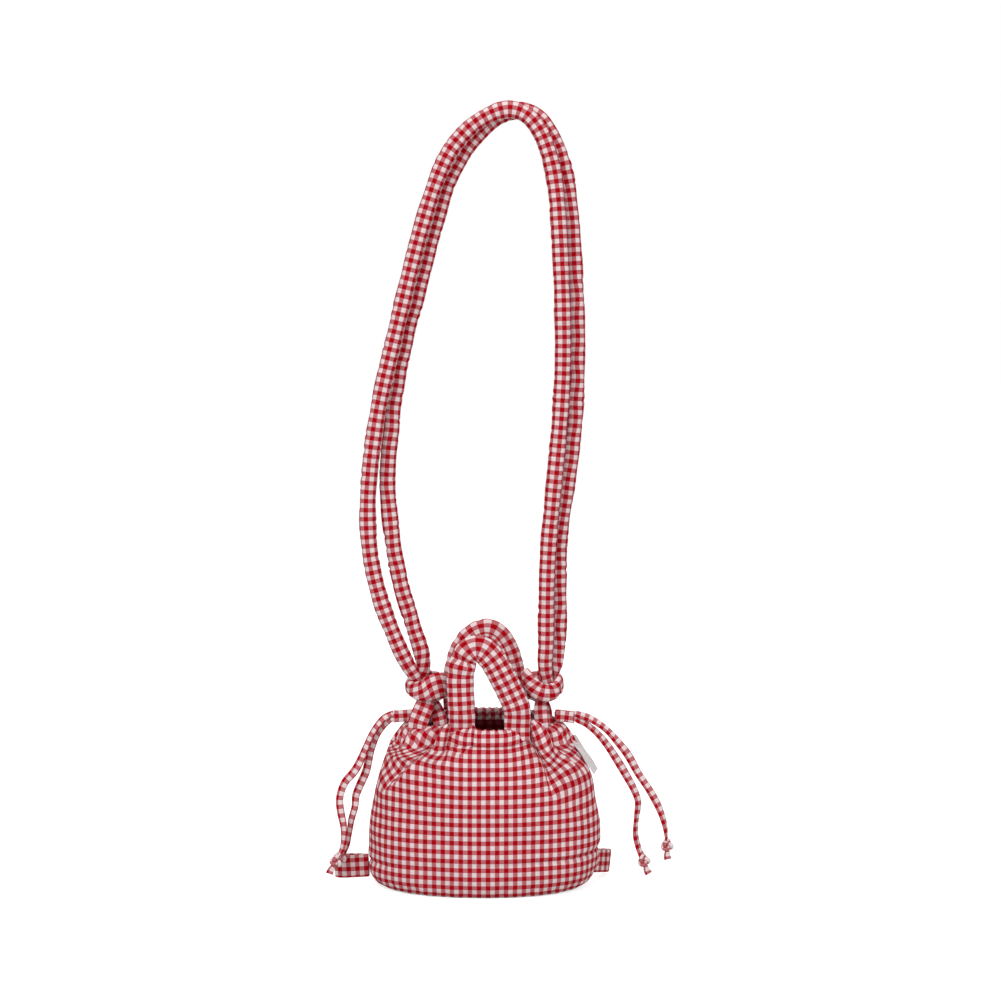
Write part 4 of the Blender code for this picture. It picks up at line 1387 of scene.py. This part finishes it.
HITCH_BAND = {
    Side.LEFT: (
        ((0.0160, -0.0112, 0.0042), (-1.0, 0.0, 0.0), 0.0042, 0.0100),
        ((0.0130, -0.0154, 0.0038), (-0.5, 0.9, 0.0), 0.0048, 0.0132),
        ((0.0045, -0.0176, 0.0016), BACK, 0.0052, 0.0128),
        ((-0.0045, -0.0174, -0.0014), BACK, 0.0052, 0.0106),
        ((-0.0128, -0.0142, -0.0018), (0.7, 0.7, 0.0), 0.0046, 0.0088),
        ((-0.0184, -0.0056, 0.0004), (1.0, 0.0, 0.0), 0.0042, 0.0072),
    ),
    Side.RIGHT: (
        ((0.0150, -0.0110, 0.0120), (-1.0, 0.0, 0.0), 0.0044, 0.0076),
        ((0.0120, -0.0154, 0.0075), (-0.6, 0.8, 0.0), 0.0050, 0.0084),
        ((0.0045, -0.0178, -0.0014), BACK, 0.0054, 0.0088),
        ((-0.0050, -0.0178, -0.0046), BACK, 0.0054, 0.0088),
        ((-0.0130, -0.0142, -0.0028), (0.7, 0.7, 0.0), 0.0048, 0.0084),
        ((-0.0180, -0.0050, 0.0040), (1.0, 0.0, 0.0), 0.0044, 0.0080),
    ),
}
# Runs of the strap above each hitch, outwards: x, y, z, half thickness, half width
RUNS = {
    (Side.LEFT, "front"): (
        (-0.0105, -0.0048, 0.0050, 0.0040, 0.0056),
        (-0.0145, -0.0054, 0.0130, 0.0048, 0.0064),
        (-0.0215, -0.0070, 0.0250, 0.0062, 0.0076),
    ),
    (Side.LEFT, "back"): (
        (-0.0070, 0.0048, 0.0070, 0.0040, 0.0056),
        (-0.0050, 0.0056, 0.0180, 0.0052, 0.0068),
        (-0.0080, 0.0075, 0.0360, 0.0066, 0.0080),
    ),
    (Side.RIGHT, "front"): (
        (-0.0070, -0.0048, 0.0050, 0.0040, 0.0056),
        (-0.0050, -0.0054, 0.0130, 0.0048, 0.0064),
        (-0.0040, -0.0070, 0.0260, 0.0062, 0.0076),
    ),
    (Side.RIGHT, "back"): (
        (-0.0105, 0.0048, 0.0060, 0.0040, 0.0056),
        (-0.0135, 0.0056, 0.0150, 0.0052, 0.0068),
        (-0.0160, 0.0075, 0.0300, 0.0066, 0.0080),
    ),
}
# The two free runs over the top, left to right, as (x, height above the rim)
FRONT_ARCH = (
    (-0.0900, 0.0841), (-0.1060, 0.1271), (-0.1160, 0.1761), (-0.1170, 0.2341),
    (-0.1070, 0.3141), (-0.0870, 0.4011), (-0.0640, 0.4921), (-0.0420, 0.5561),
    (-0.0200, 0.5871), (0.0040, 0.6041), (0.0260, 0.6091), (0.0450, 0.5991),
    (0.0600, 0.5721), (0.0700, 0.5211), (0.0760, 0.4031), (0.0740, 0.3141),
    (0.0620, 0.1741), (0.0600, 0.0841),
)
BACK_ARCH = (
    (-0.0740, 0.0981), (-0.0870, 0.1431), (-0.0970, 0.2091), (-0.0980, 0.2641),
    (-0.0870, 0.3541), (-0.0650, 0.4431), (-0.0420, 0.5271), (-0.0240, 0.5661),
    (-0.0040, 0.5911), (0.0190, 0.6071), (0.0400, 0.6091), (0.0590, 0.5951),
    (0.0780, 0.5511), (0.0870, 0.4741), (0.0910, 0.3741), (0.0870, 0.2841),
    (0.0740, 0.1841), (0.0735, 0.1031),
)
HITCH_MIDDLE = {Side.LEFT: (-0.058, 0.0, 0.202), Side.RIGHT: (0.055, 0.0, 0.203)}


@dataclass
class ShoulderStrap:
    """Endless padded tube, hitched to the tab on each side of the mouth.

    Attributes:
        half_thickness: half its thickness where it is free.
        half_width: half its width there.
        layer: distance of each free run from the middle plane of the bag.
        squareness: squareness of its section.
        round_count: points round the section.
        step: distance between stations.
        pinches: its short creases.
        fill: how full it is stuffed; not used.
    """

    half_thickness: float = 0.0076
    half_width: float = 0.0082
    layer: float = 0.0085
    squareness: float = 2.2
    round_count: int = 40
    step: float = 0.0018
    pinches: Pinches = Pinches(0.0105, 0.00085, 0.0017, 11)
    fill: float = 0.8

    def hitch(self, side: Side) -> list[list[float]]:
        """Stations of one hitch, from the front run to the back one.

        Args:
            side: its side of the bag.

        Returns:
            The stations, one row each.
        """
        middle = HITCH_MIDDLE[side]
        sign = side.value
        rows = HITCH_START + HITCH_BAND[side] + HITCH_END
        return [[middle[0] - sign * p[0], middle[1] + p[1], middle[2] + p[2],
                 -sign * f[0], f[1], f[2], thick, wide] for p, f, thick, wide in rows]

    def run(self, side: Side, word: str) -> list[list[float]]:
        """Stations of one run just above a hitch, outwards.

        Args:
            side: the hitch's side of the bag.
            word: front or back.

        Returns:
            The stations, one row each.
        """
        middle = HITCH_MIDDLE[side]
        facing = FRONT if word == "front" else BACK
        return [[middle[0] - side.value * x, middle[1] + y, middle[2] + z, *facing, t, w]
                for x, y, z, t, w in RUNS[side, word]]

    def arch(self, rows: Sequence[tuple[float, float]], sign: float) -> list[list[float]]:
        """Stations of one free run over the top, left to right.

        Args:
            rows: x and height above the rim of each place.
            sign: -1 for the front run, 1 for the back one.

        Returns:
            The stations, one row each.
        """
        return [[x, sign * self.layer, RIM_HEIGHT + rise, 0.0, sign, 0.0,
                 self.half_thickness, self.half_width] for x, rise in rows]

    def build(self, finish: bpy.types.Material) -> bpy.types.Object:
        """Carry the section round the whole loop and crease it.

        Args:
            finish: its material.

        Returns:
            The piece.
        """
        whole = (self.run(Side.LEFT, "front")[::-1] + self.hitch(Side.LEFT)
                 + self.run(Side.LEFT, "back") + self.arch(BACK_ARCH, 1.0)
                 + self.run(Side.RIGHT, "back")[::-1] + self.hitch(Side.RIGHT)[::-1]
                 + self.run(Side.RIGHT, "front") + self.arch(FRONT_ARCH, -1.0)[::-1])
        stations = smooth_path(whole, self.step, closed=True)
        way = travelled(stations)
        length = way[-1] + self.step
        stations[:, 6] *= 1.0 + 0.035 * np.sin(way * 71.0) + 0.03 * np.sin(way * 163.0 + 1.0)
        stations[:, 7] *= 1.0 + 0.030 * np.sin(way * 83.0 + 2.0) + 0.03 * np.sin(way * 141.0)
        section = oval_section(self.round_count, self.squareness, 0.5 * math.pi)
        sweep = Sweep(stations, section, closed=True)
        swell = self.pinches.swell(way, self.round_count, length)
        item = new_piece("shoulder_strap_cloth",
                         [Patch(sweep.grid(swell), sweep.cloth(), wrap_rows=True,
                                wrap_columns=True)])
        dress(item, finish, Slot.STRAP, ["shoulder_strap"])
        LOG.info("strap loop %.3f m", length)
        return item


# Middle line of each handle, left to right: x and height above the rim
FRONT_HANDLE = (
    (-0.0240, 0.0141), (-0.0250, 0.0341), (-0.0250, 0.0541), (-0.0205, 0.0706),
    (-0.0110, 0.0786), (-0.0010, 0.0756), (0.0085, 0.0646), (0.0170, 0.0491),
    (0.0250, 0.0331), (0.0310, 0.0181),
)
BACK_HANDLE = (
    (-0.0310, 0.0241), (-0.0305, 0.0401), (-0.0275, 0.0571), (-0.0215, 0.0721),
    (-0.0120, 0.0826), (-0.0005, 0.0871), (0.0100, 0.0831), (0.0185, 0.0711),
    (0.0240, 0.0551), (0.0270, 0.0381), (0.0290, 0.0241),
)


@dataclass(frozen=True)
class Kink:
    """Place where a handle buckles.

    Attributes:
        share: share of the handle's length at which it lies.
        angle: side of the section that it dents, radians; 0 is the handle's outer face.
        depth: depth of the dent.
    """

    share: float
    angle: float
    depth: float


@dataclass
class GrabHandle:
    """Padded handle whose two flat ends are sewn inside the rim.

    Attributes:
        name: the piece's name.
        node: the CAD node it stands for.
        rows: its middle line above the rim.
        sign: -1 for the front handle, 1 for the back one.
        lift: how much higher the rim stands there.
        pinches: its short creases.
        kinks: where it buckles.
        foot_y: distance of its feet from the middle plane.
        stand_off: distance of its arch from the middle plane.
        half_width: half its width.
        half_thickness: half its thickness.
        foot_thickness: half the thickness of its flat feet.
        foot_depth: how far its feet reach below the middle of the casing.
        kink_width: half width of a kink along the handle.
        round_count: points round the section.
        fill: how full it is stuffed; not used.
    """

    name: str
    node: str
    rows: Sequence[tuple[float, float]]
    sign: float
    lift: float
    pinches: Pinches
    kinks: Sequence[Kink] = ()
    foot_y: float = 0.0300
    stand_off: float = 0.0302
    half_width: float = 0.0134
    half_thickness: float = 0.0070
    foot_thickness: float = 0.0022
    foot_depth: float = 0.0044
    kink_width: float = 0.0026
    round_count: int = 56
    fill: float = 0.75

    def build(self, finish: bpy.types.Material) -> bpy.types.Object:
        """Carry the section from foot to foot, crease it and buckle it at its kinks.

        A kink is a bell along the handle times a squared bell round it, and a third of it
        is given back on either side.

        Args:
            finish: its material.

        Returns:
            The piece.
        """
        facing = (0.0, self.sign, 0.0)
        low = CASING_MIDDLE - self.foot_depth + self.lift
        rim = RIM_HEIGHT + self.lift

        def foot(x: float, z: float) -> list[float]:
            """A flat station against the casing."""
            return [x, self.sign * self.foot_y, z, *facing, self.foot_thickness,
                    0.96 * self.half_width]

        whole = [foot(self.rows[0][0], low), foot(self.rows[0][0], rim)]
        whole += [[x, self.sign * self.stand_off, RIM_HEIGHT + rise, *facing,
                   self.half_thickness, self.half_width] for x, rise in self.rows]
        whole += [foot(self.rows[-1][0], rim), foot(self.rows[-1][0], low)]
        stations = smooth_path(whole, 0.0014)
        way = travelled(stations)
        sweep = Sweep(stations, oval_section(self.round_count, 2.3))
        swell = self.pinches.swell(way, self.round_count, way[-1])
        turn = math.tau * (np.arange(self.round_count) + 0.5) / self.round_count + math.pi
        for kink in self.kinks:
            patch = (0.5 + 0.5 * np.cos(turn - kink.angle)) ** 2
            x = (way / way[-1] - kink.share) * way[-1] / self.kink_width
            swell -= kink.depth * bell(x)[:, None] * patch[None, :]
            beside = bell((np.abs(x) - 2.4) / 1.3)
            swell += 0.35 * kink.depth * beside[:, None] * patch[None, :]
        item = new_piece(self.name, [Patch(sweep.grid(swell), sweep.cloth(0.0022),
                                           wrap_columns=True, capped=True)])
        dress(item, finish, Slot.HANDLE, [self.node])
        return item


# ribbons


@dataclass
class Ribbon:
    """Flat strip of cloth along a path, with rounded edges and a slight curl.

    Attributes:
        name: the piece's name.
        node: the CAD node it stands for.
        rows: place (3), direction of its width (3) and half width of each station.
        flat: the strip's size before it was sewn; not used.
        wall: its thickness.
        step: distance between stations.
        curl: how far its edges lag behind its middle.
        section_count: points round its section.
    """

    name: str
    node: str
    rows: Sequence[Sequence[float]]
    flat: tuple[float, float]
    wall: float = 0.0014
    step: float = 0.0012
    curl: float = 0.0004
    section_count: int = 28

    def build(self, finish: bpy.types.Material, slot: Slot = Slot.TRIM) -> bpy.types.Object:
        """Sweep a flat oval, whose edges fall back with the square of their distance.

        Args:
            finish: its material.
            slot: the record's material slot.

        Returns:
            The piece.
        """
        stations = smooth_path(self.rows, self.step)
        centre, wide = stations[:, :3], stations[:, 3:6]
        along = unit(np.gradient(centre, axis=0))
        wide = unit(wide - along * np.sum(wide * along, axis=1, keepdims=True))
        facing = np.cross(wide, along)
        way = travelled(centre)
        thick = np.full(len(way), 0.5 * self.wall)
        sweep = Sweep(np.column_stack([centre, facing, thick, stations[:, 6]]),
                      oval_section(self.section_count, 5.0))
        points = sweep.grid()
        lag = self.curl * sweep.section[None, :, 1] ** 2
        lag = lag + 0.0003 * np.sin(way * 260.0)[:, None] * sweep.section[None, :, 1]
        points = points - sweep.axes()[1][:, None] * lag[..., None]
        item = new_piece(self.name, [Patch(points, sweep.cloth(), wrap_columns=True,
                                           capped=True)], sharp_degrees=60.0)
        dress(item, finish, slot, [self.node])
        return item


X_AXIS = (1.0, 0.0, 0.0)
TAB_LEAN = (0.96, 0.0, 0.28)
# Each strap tab: up from inside the rim, through the hitch and down again, as place,
# direction of its width and half width
STRAP_TABS = {
    Side.LEFT: (
        ((-0.0690, -0.0160, 0.1500), (0.84, 0.0, -0.54), 0.0080),
        ((-0.0688, -0.0196, 0.1660), (0.82, 0.0, -0.57), 0.0096),
        ((-0.0650, -0.0190, 0.1770), (0.84, 0.0, -0.54), 0.0098),
        ((-0.0612, -0.0140, 0.1870), (0.92, 0.0, -0.40), 0.0090),
        ((-0.0600, -0.0104, 0.1970), X_AXIS, 0.0056),
        ((-0.0610, -0.0087, 0.2032), X_AXIS, 0.0047),
        ((-0.0610, 0.0087, 0.2032), X_AXIS, 0.0047),
        ((-0.0605, 0.0102, 0.199), X_AXIS, 0.0047),
        ((-0.0570, 0.0080, 0.187), TAB_LEAN, 0.0066),
        ((-0.0500, 0.0000, 0.178), TAB_LEAN, 0.0070),
        ((-0.0460, -0.0100, 0.166), TAB_LEAN, 0.0070),
        ((-0.0460, -0.0130, 0.150), X_AXIS, 0.0070),
    ),
    Side.RIGHT: (
        ((0.0560, -0.0185, 0.150), X_AXIS, 0.0066),
        ((0.0560, -0.0190, 0.164), X_AXIS, 0.0070),
        ((0.0550, -0.0160, 0.176), (0.98, 0.0, 0.16), 0.0070),
        ((0.0545, -0.0106, 0.187), (0.98, 0.0, 0.12), 0.0058),
        ((0.0580, -0.0102, 0.200), X_AXIS, 0.0047),
        ((0.0580, -0.0087, 0.2042), X_AXIS, 0.0047),
        ((0.0580, 0.0087, 0.2042), X_AXIS, 0.0047),
        ((0.0575, 0.0102, 0.200), X_AXIS, 0.0047),
        ((0.0560, 0.0080, 0.188), X_AXIS, 0.0060),
        ((0.0590, 0.0000, 0.178), X_AXIS, 0.0070),
        ((0.0600, -0.0090, 0.166), X_AXIS, 0.0070),
        ((0.0590, -0.0130, 0.150), X_AXIS, 0.0070),
    ),
}
TAB_FLAT = {Side.LEFT: (0.018, 0.117), Side.RIGHT: (0.016, 0.115)}


@dataclass
class StrapTab:
    """Ribbon loop sewn inside the rim, which the shoulder strap is hitched to.

    Attributes:
        side: its side of the bag.
    """

    side: Side

    def build(self, finish: bpy.types.Material) -> None:
        """Make the ribbon along its own row of stations."""
        rows = [[*place, *across, half] for place, across, half in STRAP_TABS[self.side]]
        Ribbon(f"strap_tab_{self.side.word}_cloth", f"strap_tab_{self.side.word}", rows,
               TAB_FLAT[self.side]).build(finish)


# Outline of a low side loop seen from above: share of its length and of its half gap
LOOP_OUTLINE = (
    (0.0, 0.28), (0.30, 0.62), (0.62, 1.0), (0.88, 0.75), (1.0, 0.0),
    (0.88, -0.75), (0.62, -1.0), (0.30, -0.62), (0.0, -0.28),
)


@dataclass
class BaseLoop:
    """Ribbon loop low on one side.

    Attributes:
        side: its side of the bag.
        degrees: where it is sewn on, round the bag.
        heading: the way it points, degrees from +X.
        droop: degrees by which it hangs.
        level: height of its middle where it is sewn on.
        length: how far it stands out.
        half_gap: half its thickness where it is widest open.
        half_width: half the ribbon's width.
        clear: how far outside the plain wall its middle starts.
        flat: flat size of its ribbon.
    """

    side: Side
    degrees: float
    heading: float
    droop: float
    level: float
    length: float = 0.035
    half_gap: float = 0.005
    half_width: float = 0.0115
    clear: float = 0.0012
    flat: tuple[float, float] = (0.023, 0.075)

    def build(self, body: BagBody, finish: bpy.types.Material) -> None:
        """Carry the ribbon out along the heading, round and back, on its edge.

        Args:
            body: the bag body that it is sewn to.
            finish: its material.
        """
        wall, _ = body.surface(np.array([self.level]), np.array([90.0]), np.array([-self.clear]),
                               np.array([self.degrees, self.degrees + 0.1]))
        root = wall[0, 0]
        heading = math.radians(self.heading)
        level = np.array([math.cos(heading), math.sin(heading), 0.0])
        upright = np.array([0.0, 0.0, 1.0])
        fall = math.radians(self.droop)
        out = level * math.cos(fall) - upright * math.sin(fall)
        broad = level * math.sin(fall) + upright * math.cos(fall)
        aside = np.array([-level[1], level[0], 0.0])
        rows = [[*(root + out * self.length * reach + aside * self.half_gap * offset), *broad,
                 self.half_width] for reach, offset in LOOP_OUTLINE]
        Ribbon(f"base_loop_{self.side.word}_cloth", f"base_loop_{self.side.word}", rows,
               self.flat, curl=0.0002).build(finish)


@dataclass
class SideLabel:
    """Blank label that hangs from the right side seam.

    Attributes:
        top: height of its upper end.
        drop: how far it hangs down.
        half_width: half its width.
        sink: how deep its upper end lies in the seam.
        stand_out: how much further out its lower end stands.
        flat: flat size of its ribbon.
    """

    top: float = 0.150
    drop: float = 0.0353
    half_width: float = 0.0075
    sink: float = 0.0026
    stand_out: float = 0.0080
    flat: tuple[float, float] = (0.016, 0.042)

    def build(self, body: BagBody, finish: bpy.types.Material) -> None:
        """Follow the seam down, standing out more and more from it.

        Args:
            body: the bag body that it is sewn to.
            finish: its material.
        """
        rows = []
        for share in np.linspace(0.0, 1.0, 7):
            height = self.top - self.drop * share
            rise = (height - body.belly_height) / (RIM_HEIGHT - body.belly_height)
            draw_in = (body.belly_half_width - body.rim_half_width) * (
                rise ** body.shoulder_power)
            half = body.belly_half_width - draw_in
            half += np.interp(height, *np.array(RIGHT_FULLNESS).T)
            x = half - self.sink + self.stand_out * share**1.4
            rows.append([x, 0.0010, height, 0.42, 0.91, 0.0, self.half_width])
        Ribbon("side_label_satin", "side_label", rows, self.flat, wall=0.0010,
               curl=0.0006).build(finish, Slot.LABEL)


# tail routes, from the sleeve down

LEFT_OUTER = (
    (-0.0960, -0.0062, 0.1747), (-0.1040, -0.0085, 0.1700), (-0.1130, -0.0100, 0.1585),
    (-0.1200, -0.0110, 0.1435), (-0.1275, -0.0120, 0.1260), (-0.1335, -0.0130, 0.1165),
    (-0.1410, -0.0140, 0.1080), (-0.1455, -0.0150, 0.0980), (-0.1470, -0.0160, 0.0880),
    (-0.1455, -0.0170, 0.0760), (-0.1430, -0.0180, 0.0640), (-0.1425, -0.0190, 0.0520),
    (-0.1440, -0.0195, 0.0420), (-0.1480, -0.0200, 0.0330),
)
LEFT_INNER = (
    (-0.0960, -0.0056, 0.1690), (-0.1020, -0.0040, 0.1635), (-0.1095, -0.0030, 0.1530),
    (-0.1155, -0.0030, 0.1390), (-0.1185, -0.0030, 0.1270), (-0.1215, -0.0030, 0.1150),
    (-0.1275, -0.0030, 0.1015), (-0.1315, -0.0032, 0.0910), (-0.1325, -0.0040, 0.0800),
    (-0.1360, -0.0050, 0.0670), (-0.1380, -0.0060, 0.0540), (-0.1400, -0.0070, 0.0430),
    (-0.1440, -0.0075, 0.0345),
)
RIGHT_OUTER = (
    (0.0930, -0.0060, 0.1745), (0.1050, -0.0060, 0.1700), (0.1200, -0.0060, 0.1600),
    (0.1330, -0.0065, 0.1460), (0.1430, -0.0070, 0.1330), (0.1530, -0.0075, 0.1150),
    (0.1650, -0.0080, 0.0970), (0.1745, -0.0085, 0.0790), (0.1800, -0.0090, 0.0620),
    (0.1820, -0.0090, 0.0470),
)
RIGHT_INNER = (
    (0.0920, -0.0060, 0.1685), (0.1000, -0.0058, 0.1650), (0.1110, -0.0050, 0.1560),
    (0.1220, -0.0045, 0.1430), (0.1330, -0.0040, 0.1260), (0.1430, -0.0035, 0.1090),
    (0.1500, -0.0030, 0.0955), (0.1535, -0.0025, 0.0840), (0.1520, -0.0020, 0.0680),
    (0.1510, -0.0020, 0.0520), (0.1540, -0.0020, 0.0380), (0.1575, -0.0020, 0.0290),
)
SLEEVE_TIP = {Side.LEFT: 0.0935, Side.RIGHT: 0.0885}


# stage


@dataclass(frozen=True)
class Lamp:
    """Square soft lamp.

    Attributes:
        name: its name.
        place: where it stands.
        size: length of its side.
        power: watts.
    """

    name: str
    place: tuple[float, float, float]
    size: float
    power: float


@dataclass
class Studio:
    """Camera, white floor, soft lamps and white surroundings.

    Attributes:
        camera_place: where the photograph was taken from.
        pitch_down: degrees by which the camera looks down.
        lens: its focal length, millimetres.
        sensor: width of its sensor, millimetres.
        floor_size: side of the square floor.
        floor_tone: how much light the floor gives back.
        floor_glow: what it shows the camera besides, so that it is white off the shadow.
        sky_strength: light of the surroundings.
        lamps: the lamps.
        aim: what they point at.
    """

    camera_place: tuple[float, float, float] = (0.0145, -1.9944, 0.5396)
    pitch_down: float = 4.3
    lens: float = 71.93
    sensor: float = 36.0
    floor_size: float = 60.0
    floor_tone: float = 0.60
    floor_glow: float = 0.73
    sky_strength: float = 0.47
    lamps: tuple[Lamp, ...] = (
        Lamp("key", (-1.1, -2.4, 2.3), 1.8, 47.0),
        Lamp("fill", (1.6, -2.2, 1.2), 2.2, 19.0),
        Lamp("top", (0.0, 0.6, 2.6), 2.4, 17.0),
        Lamp("back", (0.8, 2.6, 1.6), 2.4, 30.0),
    )
    aim: tuple[float, float, float] = (0.0, 0.0, 0.25)

    def build_camera(self) -> None:
        """A camera at the photograph's place, looking along +Y and a little down."""
        data = bpy.data.cameras.new("camera")
        data.lens = self.lens
        data.sensor_width = self.sensor
        item = bpy.data.objects.new("camera", data)
        item.location = self.camera_place
        item.rotation_euler = (math.radians(90.0 - self.pitch_down), 0.0, 0.0)
        bpy.context.collection.objects.link(item)
        bpy.context.scene.camera = item

    def build_floor(self) -> None:
        """A white floor that shows full white to the camera where no shadow lies."""
        half = 0.5 * self.floor_size
        mesh = bpy.data.meshes.new("floor")
        corners = [(x * half, y * half, -FLOOR_DROP)
                   for x, y in ((-1, -1), (1, -1), (1, 1), (-1, 1))]
        mesh.from_pydata(corners, [], [(0, 1, 2, 3)])
        floor = bpy.data.objects.new("floor", mesh)
        bpy.context.collection.objects.link(floor)
        board = NodeBoard("floor_white")
        board.shader.inputs["Base Color"].default_value = rgba((self.floor_tone,) * 3)
        board.shader.inputs["Roughness"].default_value = 1.0
        board.shader.inputs["Specular IOR Level"].default_value = 0.0
        path = board.node("ShaderNodeLightPath")
        seen = board.math("MAXIMUM", path.outputs["Is Camera Ray"],
                          board.math("MAXIMUM", path.outputs["Is Glossy Ray"],
                                     path.outputs["Is Transmission Ray"]))
        glow = board.node("ShaderNodeEmission")
        board.feed(glow.inputs["Strength"], board.math("MULTIPLY", seen, self.floor_glow))
        both = board.node("ShaderNodeAddShader")
        board.tree.links.new(board.shader.outputs[0], both.inputs[0])
        board.tree.links.new(glow.outputs[0], both.inputs[1])
        board.tree.links.new(both.outputs[0],
                             board.tree.nodes["Material Output"].inputs["Surface"])
        mesh.materials.append(board.material)

    def build_lamps(self) -> None:
        """Large soft lamps: key and fill in front, one above and one behind."""
        for lamp in self.lamps:
            data = bpy.data.lights.new(lamp.name, "AREA")
            data.shape = "SQUARE"
            data.size = lamp.size
            data.energy = lamp.power
            item = bpy.data.objects.new(lamp.name, data)
            item.location = lamp.place
            aim = np.array(self.aim) - np.array(lamp.place)
            yaw = math.atan2(aim[0], aim[1])
            fall = math.atan2(math.hypot(aim[0], aim[1]), -aim[2])
            item.rotation_euler = (fall, 0.0, -yaw)
            bpy.context.collection.objects.link(item)

    def build_sky(self) -> None:
        """Even white light; the camera sees plain white."""
        world = bpy.data.worlds.new("white")
        world.use_nodes = True
        tree = world.node_tree
        sky = tree.nodes["Background"]
        sky.inputs["Color"].default_value = (1.0, 1.0, 1.0, 1.0)
        path = tree.nodes.new("ShaderNodeLightPath")
        either = tree.nodes.new("ShaderNodeMath")
        either.operation = "MAXIMUM"
        tree.links.new(path.outputs["Is Camera Ray"], either.inputs[0])
        shiny = tree.nodes.new("ShaderNodeMath")
        shiny.operation = "MAXIMUM"
        tree.links.new(path.outputs["Is Glossy Ray"], shiny.inputs[0])
        tree.links.new(path.outputs["Is Transmission Ray"], shiny.inputs[1])
        tree.links.new(shiny.outputs[0], either.inputs[1])
        level = tree.nodes.new("ShaderNodeMapRange")
        level.inputs["To Min"].default_value = self.sky_strength
        level.inputs["To Max"].default_value = 1.0
        tree.links.new(either.outputs[0], level.inputs["Value"])
        tree.links.new(level.outputs[0], sky.inputs["Strength"])
        bpy.context.scene.world = world

    def build(self) -> None:
        """Set the whole stage."""
        self.build_camera()
        self.build_floor()
        self.build_lamps()
        self.build_sky()
        bpy.context.scene.view_settings.view_transform = "Standard"


def main() -> None:
    """Build the stage and every piece in order; dress() reports each one."""
    logging.basicConfig(level=logging.INFO, format="%(message)s")
    Studio().build()
    body_cloth = Gingham("gingham_body").make()
    strap_cloth = Gingham("gingham_strap").make()
    handle_cloth = Gingham("gingham_handle").make()
    trim_cloth = Gingham("gingham_trim").make()
    cord_cloth = Gingham("gingham_cord").make()
    # The lining is the body's gingham with painted shade: its colours are darkened to about a third
    # because the bag's inside lies in shadow.
    lining_cloth_painted_shade = Gingham("gingham_lining_painted_shade", dyed=(0.130, 0.0005, 0.003),
                           half=(0.170, 0.006, 0.010), plain=(0.230, 0.045, 0.055)).make()
    satin = Satin("label_satin").make()

    body = BagBody()
    body.build(body_cloth, lining_cloth_painted_shade)
    left_tip, right_tip = (SLEEVE_TIP[side] for side in Side)
    Drawcord(Side.LEFT, body, left_tip, LEFT_OUTER, LEFT_INNER, 0.176, 0.168).build(cord_cloth)
    Drawcord(Side.RIGHT, body, right_tip, RIGHT_OUTER, RIGHT_INNER, 0.175, 0.178).build(cord_cloth)
    CordSleeve(Side.LEFT, left_tip).build(trim_cloth)
    CordSleeve(Side.RIGHT, right_tip, droop=-0.001).build(trim_cloth)
    ShoulderStrap().build(strap_cloth)
    GrabHandle("handle_front_cloth", "handle_front", FRONT_HANDLE, -1.0, 0.0,
               Pinches(0.012, 0.0008, 0.0020, 5),
               (Kink(0.39, 0.0, 0.0036), Kink(0.42, 0.5 * math.pi, 0.0028))).build(handle_cloth)
    GrabHandle("handle_back_cloth", "handle_back", BACK_HANDLE, 1.0, body.back_rim_rise,
               Pinches(0.012, 0.0008, 0.0020, 8)).build(handle_cloth)
    for side in Side:
        StrapTab(side).build(trim_cloth)
    BaseLoop(Side.LEFT, 177.0, 172.0, 3.0, 0.018).build(body, trim_cloth)
    BaseLoop(Side.RIGHT, 12.0, 62.0, 11.0, 0.0195).build(body, trim_cloth)
    SideLabel().build(body, satin)


if __name__ == "__main__":
    main()
